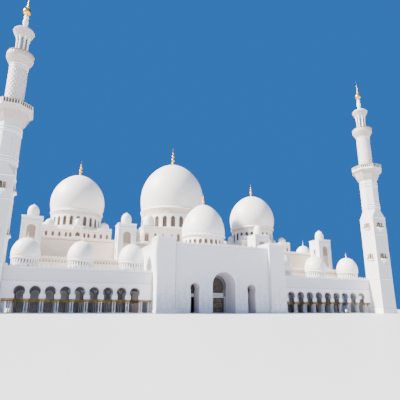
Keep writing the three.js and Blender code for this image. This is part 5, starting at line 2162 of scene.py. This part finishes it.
@dataclass(frozen=True)
class CornerDome:
    """A shallow dome on a round band near a front corner of the hall roof."""

    name: str
    x: float
    y: float = -0.575
    radius: float = 0.355
    bottom: float = 2.66
    base: float = 2.83
    top: float = 3.23
    wall: float = 0.028

    def build(self) -> None:
        """The shell r = R cos t, z = base + rise sin t, its band and its tip."""
        t = np.linspace(0, math.pi / 2, 20)
        rise = self.top - self.base
        outer = [(self.radius, self.bottom), *zip(self.radius * np.cos(t) ** 1.1, self.base + rise * np.sin(t))]
        inside = self.radius - self.wall
        inner = [
            (inside, self.bottom),
            *zip(inside * np.cos(t) ** 1.1, self.base + (rise - self.wall) * np.sin(t)),
        ]
        outer[-1], inner[-1] = (0.001, outer[-1][1]), (0.001, inner[-1][1])
        here = moved(self.x, self.y)
        shell = Surface().add(lathe([*outer, *inner[::-1]], 72, ring=True), here)
        shell.piece(f"{self.name}_corner_dome_shell", Finish.DOME, replaces=(f"{self.name}_corner_dome",))
        trim = Surface()
        for z, size in ((self.base - 0.03, 0.026), (self.bottom, 0.03)):
            ring = [(self.radius + a, z + b) for a, b in staff(size)]
            trim.add(lathe(ring, 72, ring=True), here)
        trim.piece(f"{self.name}_corner_dome_band", Finish.TRIM)
        tip = Surface().add(spike(0.024, self.top - 0.006, self.top + 0.27), here)
        tip.piece(f"{self.name}_corner_dome_spike", Finish.TRIM)


# Minarets


@dataclass(frozen=True)
class Minaret:
    """One minaret: square, then octagonal, then round, with two balconies, a lantern and a finial."""

    name: str
    x: float
    y: float = -4.24
    half: float = 0.345
    square_top: float = 3.97
    octagon_start: float = 4.27
    flare_one: float = 5.66
    balcony_one: float = 6.16
    balcony_one_half: float = 0.585
    rail_one: float = 6.31
    drum: float = 0.275
    wall: float = 0.08
    flare_two: float = 7.8
    balcony_two: float = 8.13
    balcony_two_radius: float = 0.42
    rail_two: float = 8.19
    lantern: float = 0.19
    crown_start: float = 8.82
    crown_widest: float = 9.11
    crown_radius: float = 0.32
    crown_top: float = 9.25
    tip: float = 10.7
    sills: tuple[float, float] = (2.19, 3.51)

    def build(self) -> None:
        """Builds every part of it from the ground up."""
        self.build_square()
        self.build_windows()
        self.build_octagon()
        self.build_flare()
        self.build_first_balcony()
        self.build_round_shaft()
        self.build_second_balcony()
        self.build_lantern()
        self.build_finial()

    def here(self) -> Place:
        """The minaret's own axis."""
        return moved(self.x, self.y)

    def faces(self, sides: int, reach: float) -> list[Face]:
        """The upright faces of a regular prism about the axis."""
        return [Face(self.x, self.y, TAU * k / sides, reach) for k in range(sides)]

    def build_square(self) -> None:
        """The plinth, belts, corner rolls and framed panels of the square shaft."""
        trim = Surface()
        foot = [(-0.01, 0), (0.03, 0), (0.03, 0.12), (0.02, 0.14), (0.02, 0.17), (0.0, 0.2), (-0.01, 0.2)]
        trim.add(belt(self.half, self.half, 0.0, foot), self.here())
        for z, size in ((1.32, 0.03), (3.2, 0.022), (self.square_top - 0.05, 0.035)):
            trim.add(belt(self.half, self.half, z, cornice(size * 0.6, size)), self.here())
        roll = [(0, 0.2), (0.014, 0.2), (0.014, self.square_top - 0.05), (0, self.square_top - 0.05)]
        corner = self.half - 0.004
        for sx in (-1, 1):
            for sy in (-1, 1):
                trim.add(lathe(roll, 12), moved(self.x + sx * corner, self.y + sy * corner))
        bead = [(0.0, -0.001), (0.0, 0.005), (0.006, 0.008), (0.012, 0.005), (0.012, -0.001)]
        for place in self.faces(4, self.half):
            for low, high in ((0.32, 1.22), (1.44, 1.88)):
                panel = np.array([[0.24, low], [0.24, high], [-0.24, high], [-0.24, low]])
                trim.add(moulding(panel, bead, closed=True), place)
        trim.piece(f"{self.name}_minaret_square_mouldings", Finish.TRIM)

    def build_windows(self) -> None:
        """Each window of the square shaft: gilded screens beside it and a small balcony on a corbel."""
        windows = Windows(f"{self.name}_minaret")
        stone, gold, panels = Surface(), Surface(), Surface()
        for place in self.faces(4, self.half):
            for sill in self.sills:
                windows.add(place, 0.06, sill, sill + 0.26, rim=0.012, sunk=0.04, bars=False)
                self.add_screens(gold, panels, place, sill)
                self.add_balcony(stone, gold, place, sill)
        windows.pieces()
        panels.piece(f"{self.name}_minaret_window_shade_panels", Finish.BROWN_AND_SHADE)
        stone.piece(f"{self.name}_minaret_window_balconies", Finish.TRIM)
        gold.piece(f"{self.name}_minaret_window_screens_gilded", Finish.GOLD_TRIM)

    def add_screens(self, gold: Surface, panels: Surface, place: Place, sill: float) -> None:
        """Two gilded lattice panels beside a window, each a frame with crossed bars on a dark plate of painted
        shade.
        """
        for side in (-1, 1):
            u0, u1 = side * 0.074, side * 0.142
            z0, z1 = sill, sill + 0.2
            outline = np.array([[u0, z0], [u0, z1], [u1, z1], [u1, z0]])
            # The plate behind the bars is coloured dark brown as painted shade.
            panels.add(plate(outline, -0.001, 0.003), place)
            for u in (u0, u1):
                gold.add(bar((u, z0), (u, z1), 0.012, -0.001, 0.01), place)
            for z in (z0, z1):
                gold.add(bar((u0, z), (u1, z), 0.012, -0.001, 0.01), place)
            for k in range(4):
                low, high = z0 + (z1 - z0) * k / 4, z0 + (z1 - z0) * (k + 1) / 4
                gold.add(bar((u0, low), (u1, high), 0.008, -0.001, 0.007), place)
                gold.add(bar((u1, low), (u0, high), 0.008, -0.001, 0.0065), place)

    def add_balcony(self, stone: Surface, gold: Surface, place: Place, sill: float) -> None:
        """A slab with a lattice rail, on a corbel that tapers to a point: width(s) = w (1 - s) ** 0.7."""
        slab = [(-0.01, -0.05), (0.07, -0.05), (0.09, -0.035), (0.09, -0.006), (-0.01, -0.006)]
        stone.add(ledge(-0.16, 0.16, sill, slab), place)
        s = np.linspace(0, 0.97, 7)
        shape = np.array([[-1, 0], [-1, 0.55], [-0.55, 1], [0.55, 1], [1, 0.55], [1, 0]])
        rows = []
        for step in s:
            w, out = 0.12 * (1 - step) ** 0.7, 0.06 * (1 - step) ** 0.9
            z = np.full(len(shape), sill - 0.049 - step * 0.16)
            rows.append(np.stack([shape[:, 0] * w, shape[:, 1] * out - 0.003, z], -1))
        stone.add(loft(np.stack(rows)), place)
        reach, out, top = 0.15, 0.082, sill + 0.05
        for z in (sill, top):
            gold.add(bar((-reach, z), (reach, z), 0.01, out - 0.01, out), place)
            for side in (-1, 1):
                gold.add(bar((side * reach, z - 0.005), (side * reach, z + 0.005), 0.01, -0.001, out), place)
        for u in np.linspace(-reach, reach, 11):
            gold.add(bar((u, sill - 0.007), (u, top), 0.006, out - 0.008, out - 0.002), place)
        for side in (-1, 1):
            for d in (0.015, 0.038, 0.06):
                ends = [(side * reach, sill - 0.007), (side * reach, top)]
                gold.add(bar(*ends, 0.006, d, d + 0.006), place)

    def build_octagon(self) -> None:
        """Double bands near both ends of the octagon and tall framed panels between them."""
        trim = Surface()
        low, high = self.octagon_start, self.flare_one
        for z in (low + 0.1, low + 0.16, low + 0.26, high - 0.32, high - 0.26, high - 0.16):
            ring = [(self.half + a * 0.9, z + b) for a, b in staff(0.024)]
            trim.add(prism(ring, 8, ring=True), self.here())
        bead = [(0.0, -0.001), (0.0, 0.004), (0.005, 0.007), (0.01, 0.004), (0.01, -0.001)]
        reach = self.half * math.tan(math.pi / 8)
        line = arch_line(reach * 0.6, 4.55, 5.28, 5.4, Head.POINTED, 14)
        inner = arch_line(reach * 0.36, 4.62, 5.2, 5.28, Head.POINTED, 12)
        for place in self.faces(8, self.half):
            for shape in (line, inner):
                trim.add(moulding(shape, bead, closed=True), place)
            for z in np.linspace(4.72, 5.12, 5):
                trim.add(shifted(star(0.03, 4, 0.45, 0.007), 0, z), place)
        trim.piece(f"{self.name}_minaret_octagon_mouldings", Finish.TRIM)

    def build_flare(self) -> None:
        """A skirt of small scallops in three tiers over the flare under the first balcony.

        r(t, s) = profile(s) / cos(t within its eighth) + depth |sin(12 t)| frac(3 s), and the profile
        curves outwards towards its top.
        """
        low, high = self.flare_one, self.balcony_one - 0.06
        s = np.concatenate([np.linspace(k / 3, (k + 1) / 3 - 0.004, 6) for k in range(3)])[:, None]
        t = np.arange(192)[None, :] / 192 * TAU
        eighth = TAU / 8
        within = (t + eighth / 2) % eighth - eighth / 2
        rise = np.clip((s * 3) % 1.0, 0, 1)
        lobe = 0.014 * np.abs(np.sin(t * 12)) ** 0.7 * np.sin(rise * math.pi / 2)
        z = low + s * (high - low) + 0 * t
        profile = np.interp(z, (low, low + 0.12, low + 0.35, high), (0.353, 0.413, 0.504, 0.592))
        r = profile / np.cos(within) + lobe
        skirt = np.stack([r * np.sin(t), -r * np.cos(t), z], -1)
        surface = Surface().add(loft(skirt, ends=((0, 0, low), (0, 0, high))), self.here())
        surface.piece(f"{self.name}_minaret_first_scallops", Finish.SHADED_IVORY, crease=50)

    def build_first_balcony(self) -> None:
        """The edge, the posts, the dark panels of painted shade between them and the gilded coping of the
        octagonal balcony.
        """
        reach = self.balcony_one_half
        edge, posts, dark, gold = Surface(), Surface(), Surface(), Surface()
        ring = [
            (reach - 0.02, 6.095), (reach + 0.012, 6.095), (reach + 0.018, 6.115), (reach + 0.018, 6.165),
            (reach + 0.008, 6.178), (reach - 0.02, 6.178),
        ]
        edge.add(prism(ring, 8, ring=True), self.here())
        cope = [
            (reach - 0.038, self.rail_one - 0.004), (reach + 0.01, self.rail_one - 0.004),
            (reach + 0.012, self.rail_one + 0.014), (reach - 0.04, self.rail_one + 0.014),
        ]
        gold.add(prism(cope, 8, ring=True), self.here())
        edge.piece(f"{self.name}_minaret_first_balcony_edge", Finish.CREAM)
        gold.piece(f"{self.name}_minaret_first_gilded_coping", Finish.GOLD_TRIM)
        half = reach * math.tan(math.pi / 8)
        for place in self.faces(8, reach):
            count = 6
            for k in range(count + 1):
                u = -half + 2 * half * k / count
                u = min(max(u, -half + 0.009), half - 0.009)
                posts.add(bar((u, 6.17), (u, self.rail_one), 0.018, -0.002, 0.01), place)
            # Dark panels between the posts stand in as painted shade for the shaded far side seen through the
            # rail.
            for k in range(count):
                u = -half + 2 * half * (k + 0.5) / count
                line = window_line(half / count * 0.8, 6.18, 6.303) + [u, 0]
                dark.add(plate(line, -0.001, 0.003), place)
        posts.piece(f"{self.name}_minaret_first_rail", Finish.TRIM)
        dark.piece(f"{self.name}_minaret_first_rail_painted_shade", Finish.BRONZE)

    def build_round_shaft(self) -> None:
        """The round shaft with a raised net on it, its bore, and the belts at its ends.

        The net is h = max(0, |cos(8 (t + z q))| + |cos(8 (t - z q))| - 1.45), cut off above 0.4.
        """
        z = np.linspace(self.balcony_one, self.flare_two, 116)[:, None]
        t = np.arange(160)[None, :] / 160 * TAU
        q = 1 / (self.drum * 1.6)
        net = np.abs(np.cos(8 * (t + z * q))) + np.abs(np.cos(8 * (t - z * q)))
        fade = np.clip((z - self.balcony_one - 0.12) / 0.05, 0, 1)
        fade = fade * np.clip((self.flare_two - 0.12 - z) / 0.05, 0, 1)
        r = self.drum + 0.03 * np.clip(net - 1.45, 0, 0.4) * fade
        outer = np.stack([r * np.sin(t), -r * np.cos(t), z + 0 * t], -1)
        bore = self.drum - self.wall
        inner = [
            np.stack([bore * np.sin(t[0]), -bore * np.cos(t[0]), 0 * t[0] + h], -1)
            for h in (self.flare_two, self.balcony_one)
        ]
        around = np.arange(161) / 160 * TAU * self.drum
        along = np.concatenate([z[:, 0], [self.flare_two, self.balcony_one, self.balcony_one]])
        shaft = loft(np.concatenate([outer, np.stack(inner)]), looped=True, across=around, along=along)
        surface = Surface().add(shaft, self.here())
        nodes = (f"{self.name}_minaret_round_shaft",)
        surface.piece(f"{self.name}_minaret_round_shaft_net", Finish.ROUND_SHAFT, replaces=nodes, crease=60)
        belts = Surface()
        low, high = self.balcony_one, self.flare_two
        places = ((low, 0.06), (low + 0.26, 0.02), (high - 0.14, 0.02), (high - 0.05, 0.03))
        for height, size in places:
            ring = [(self.drum + a * 0.7, height + b) for a, b in staff(size)]
            belts.add(lathe(ring, 96, ring=True), self.here())
        belts.piece(f"{self.name}_minaret_round_shaft_belts", Finish.TRIM)

    def build_second_balcony(self) -> None:
        """The bulging ribbed wall of the round balcony, its floor, and its gilded edge.

        r(t, s) = drum + (wide - drum) sin(q) ** 1.3 + depth |sin(12 t)| frac(3 s), where q reaches a
        quarter turn at three quarters of the height; above that the wall leans in a little.
        """
        low, floor, high = self.flare_two - 0.02, self.balcony_two, self.rail_two
        wide = self.balcony_two_radius
        s = np.concatenate([np.linspace(k / 3, (k + 1) / 3 - 0.004, 7) for k in range(3)])[:, None]
        t = np.arange(192)[None, :] / 192 * TAU
        rise = np.clip((s * 3) % 1.0, 0, 1)
        swell = np.sin(np.minimum(s / 0.75, 1) * math.pi / 2) ** 1.3
        lean = 0.02 * (np.maximum(s - 0.75, 0) / 0.25) ** 2
        lobe = 0.016 * np.abs(np.sin(t * 12)) ** 0.7 * np.sin(rise * math.pi / 2)
        r = self.drum + (wide - 0.01 - self.drum) * swell - lean + lobe
        bulge = np.stack([r * np.sin(t), -r * np.cos(t), low + s * (high - low) + 0 * t], -1)
        bore = self.drum - self.wall
        inner = [
            np.stack([q * np.sin(t[0]), -q * np.cos(t[0]), 0 * t[0] + h], -1)
            for q, h in ((wide - 0.05, high), (wide - 0.05, floor), (bore, floor), (bore, low))
        ]
        wall = Surface().add(loft(np.concatenate([bulge, np.stack(inner)]), looped=True), self.here())
        wall.piece(f"{self.name}_minaret_second_balcony", Finish.SHADED_IVORY, crease=50)
        rim = [
            (wide - 0.052, high - 0.006), (wide - 0.004, high - 0.014), (wide + 0.006, high - 0.004),
            (wide + 0.002, high + 0.008), (wide - 0.052, high + 0.01),
        ]
        edge = Surface().add(lathe(rim, 96, ring=True), self.here())
        edge.piece(f"{self.name}_minaret_second_balcony_edge", Finish.GOLD_TRIM)

    def build_lantern(self) -> None:
        """The seat, eight slim columns that flare into ribs before a dark core of painted shade, and the crown.
        """
        seat_top = self.balcony_two + 0.04
        wide = self.lantern + 0.03
        stone = Surface()
        seat = [(0, self.balcony_two), (wide, self.balcony_two), (wide, seat_top), (0, seat_top)]
        stone.add(lathe(seat, 64), self.here())
        s = np.linspace(0, 1, 16)
        section = np.linspace(0, TAU, 12, endpoint=False)
        for k in range(8):
            rows = []
            for step in s:
                z = seat_top - 0.005 + step * (8.9 - seat_top)
                flare = max(0.0, step - 0.6) / 0.4
                size = 0.028 + 0.02 * flare**2
                radius = self.lantern - 0.014 + 0.02 * flare**2
                ring = [size * np.cos(section), radius - self.lantern + size * np.sin(section), 0 * section + z]
                rows.append(np.stack(ring, -1))
            place = Round(self.x, self.y, self.lantern, TAU * (k + 0.5) / 8)
            stone.add(loft(np.stack(rows)), place)
        stone.piece(f"{self.name}_minaret_lantern_columns", Finish.TRIM)
        # Painted shade: a dark slate core stands for the shade inside the open lantern.
        core = [(0, seat_top), (0.142, seat_top), (0.142, self.crown_start + 0.1), (0, self.crown_start + 0.1)]
        dark = Surface().add(lathe(core, 48), self.here())
        dark.piece(f"{self.name}_minaret_lantern_painted_shade_core", Finish.SLATE_AND_SHADE)
        foot = [
            (0.14, seat_top), (0.21, seat_top), (0.205, seat_top + 0.04),
            (0.18, seat_top + 0.1), (0.14, seat_top + 0.1),
        ]
        gold = Surface().add(lathe(foot, 64, ring=True), self.here())
        gold.piece(f"{self.name}_minaret_lantern_gold_foot", Finish.GOLD_TRIM)
        self.build_crown()

    def build_crown(self) -> None:
        """The flared crown in three tiers of lobes, with a pale rim under its sloping top.

        r(t, s) = foot + (R - foot) s ** 0.9 + depth |sin(8 t)| frac(3 s), from its foot to its rim.
        """
        low, high = self.crown_start, self.crown_widest - 0.03
        s = np.concatenate([np.linspace(k / 3, (k + 1) / 3 - 0.004, 7) for k in range(3)])[:, None]
        t = np.arange(192)[None, :] / 192 * TAU
        rise = np.clip((s * 3) % 1.0, 0, 1)
        lobe = 0.02 * np.abs(np.sin(t * 8)) ** 0.7 * np.sin(rise * math.pi / 2) * (0.4 + 0.6 * s)
        r = 0.2 + (self.crown_radius - 0.2) * s**0.9 + lobe
        funnel = np.stack([r * np.sin(t), -r * np.cos(t), low + s * (high - low) + 0 * t], -1)
        cap = [
            np.stack([q * np.sin(t[0]), -q * np.cos(t[0]), 0 * t[0] + h], -1)
            for q, h in (
                (self.crown_radius + 0.012, high + 0.004), (self.crown_radius, high + 0.04),
                (0.28, high + 0.085), (0.22, high + 0.125), (0.13, self.crown_top),
            )
        ]
        crown = Surface().add(loft(np.concatenate([funnel, np.stack(cap)])), self.here())
        nodes = (f"{self.name}_minaret_lantern",)
        crown.piece(f"{self.name}_minaret_crown", Finish.SHADED_IVORY, replaces=nodes, crease=50)
        ring = [(self.crown_radius - 0.01 + a * 0.8, high + b) for a, b in staff(0.028)]
        rim = Surface().add(lathe(ring, 96, ring=True), self.here())
        rim.piece(f"{self.name}_minaret_crown_rim", Finish.CREAM)

    def build_finial(self) -> None:
        """The white neck with its collars, and the gilded ball, beads and spire."""
        low = self.crown_top
        neck = [
            (0, low), (0.1, low), (0.1, low + 0.03), (0.07, low + 0.05), (0.062, low + 0.14),
            (0.084, low + 0.2),
            (0.09, low + 0.26), (0.084, low + 0.32), (0.06, low + 0.38), (0.06, low + 0.43),
            (0.076, low + 0.45),
            (0.076, low + 0.48), (0.055, low + 0.49), (0, low + 0.49),
        ]
        white = Surface().add(lathe(neck, 32), self.here())
        white.piece(f"{self.name}_minaret_white_neck", Finish.TRIM)
        z = np.linspace(low + 0.48, self.tip, 110)
        share = (z - z[0]) / (z[-1] - z[0])
        r = 0.036 * (1 - share) ** 1.2 + 0.004 * (1 - share)
        for at, size, squash in ((9.94, 0.134, 1.0), (10.15, 0.045, 1.0), (10.42, 0.026, 0.8)):
            r = np.maximum(r, np.sqrt(np.maximum(size**2 - ((z - at) * squash) ** 2, 0)))
        gold = Surface().add(lathe([(0, z[0]), *zip(r[:-1], z[:-1]), (0, self.tip)], 32), self.here())
        gold.piece(f"{self.name}_minaret_gold_spire", Finish.GOLD, replaces=(f"{self.name}_minaret_finial",))


# Studio


@dataclass(frozen=True)
class Studio:
    """The camera at the photograph's angle, a pale floor and soft light."""

    eye: tuple[float, float, float] = (-5.871, -16.755, 0.16)
    tilt: float = 15.629
    turn: float = 21.895
    roll: float = 0.249
    focal_pixels: float = 387.47
    frame_pixels: float = 400.0
    sky: Colour = (0.035, 0.165, 0.56, 1.0)

    def build(self) -> None:
        """Makes the camera, the floor and the lights."""
        self.camera()
        self.floor()
        self.lights()

    def camera(self) -> None:
        """The camera looks up from eye height, turned to the right of the front's normal."""
        data = bpy.data.cameras.new("camera")
        data.sensor_width = 36.0
        data.lens = data.sensor_width * self.focal_pixels / self.frame_pixels
        data.clip_end = 400.0
        camera = bpy.data.objects.new("camera", data)
        camera.location = self.eye
        camera.rotation_mode = "XYZ"
        turned = np.radians([90 + self.tilt, 0.0, -self.turn])
        camera.rotation_euler = turned
        camera.rotation_euler.rotate_axis("Z", math.radians(self.roll))
        bpy.context.scene.collection.objects.link(camera)
        bpy.context.scene.camera = camera

    def floor(self) -> None:
        """A wide pale floor, a little uneven in tone."""
        reach = 150.0
        mesh = bpy.data.meshes.new("studio_floor")
        corners = [(-reach, -reach, 0), (reach, -reach, 0), (reach, reach, 0), (-reach, reach, 0)]
        mesh.from_pydata([(x, y, -0.002) for x, y, _ in corners], [], [(0, 1, 2, 3)])
        s = Shader("studio_floor_paint")
        cloud = s.noise(s.place(), 0.3, 2.0)
        mesh.materials.append(
            s.finish(
                Base_Color=s.mix(cloud, (0.64, 0.65, 0.66, 1.0), (0.6, 0.61, 0.63, 1.0)),
                Roughness=cloud * 0.1 + 0.4,
            )
        )
        floor = bpy.data.objects.new("studio_floor", mesh)
        bpy.context.scene.collection.objects.link(floor)

    def lights(self) -> None:
        """A soft sun from the left, high and a little behind, a wide pale fill, and a blue-grey room."""
        self.lamp("sun", "SUN", 24.0, (1.0, 0.95, 0.88), (-0.86, 0.12, 0.78), math.radians(4))
        self.lamp("fill", "SUN", 0.62, (0.88, 0.93, 1.0), (0.1, -0.9, 0.45), math.radians(60))
        world = bpy.data.worlds.new("studio_room")
        bpy.context.scene.world = world
        world.use_nodes = True
        background = world.node_tree.nodes["Background"]
        background.inputs["Color"].default_value = self.sky
        background.inputs["Strength"].default_value = 1.0

    def lamp(
        self, name: str, kind: str, power: float, colour: Sequence[float], way: Sequence[float], size: float
    ) -> None:
        """A far lamp that shines from a direction.

        Args:
            name: Its name.
            kind: Its type of light.
            power: Its strength.
            colour: Its colour.
            way: The direction that it comes from.
            size: How wide it looks, in radians, which softens its shadows.
        """
        data = bpy.data.lights.new(name, kind)
        data.energy = power
        data.color = colour
        data.angle = size
        lamp = bpy.data.objects.new(name, data)
        x, y, z = way
        lamp.rotation_euler = (math.atan2(math.hypot(x, y), z), 0.0, math.atan2(x, -y))
        bpy.context.scene.collection.objects.link(lamp)


def main() -> None:
    """Builds everything in order around the frame."""
    logging.basicConfig(level=logging.INFO, format="%(name)s %(message)s")
    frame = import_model()
    Studio().build()
    dress_nodes(frame["nodes"])
    Portal().build()
    Entrance().build()
    Doors().build()
    Hall().build()
    for part in [*dome_blocks(), *big_domes(), *arcade_domes()]:
        part.build()
    for name, side in SIDES:
        Arcade(name, side).build()
        CornerDome(name, side * 6.26).build()
        Tower(f"{name}_inner_tower", side * 2.98).build()
        Tower(f"{name}_outer_tower", side * 6.38).build()
        Minaret(name, side * 7.27).build()
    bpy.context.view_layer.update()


if __name__ == "__main__":
    main()
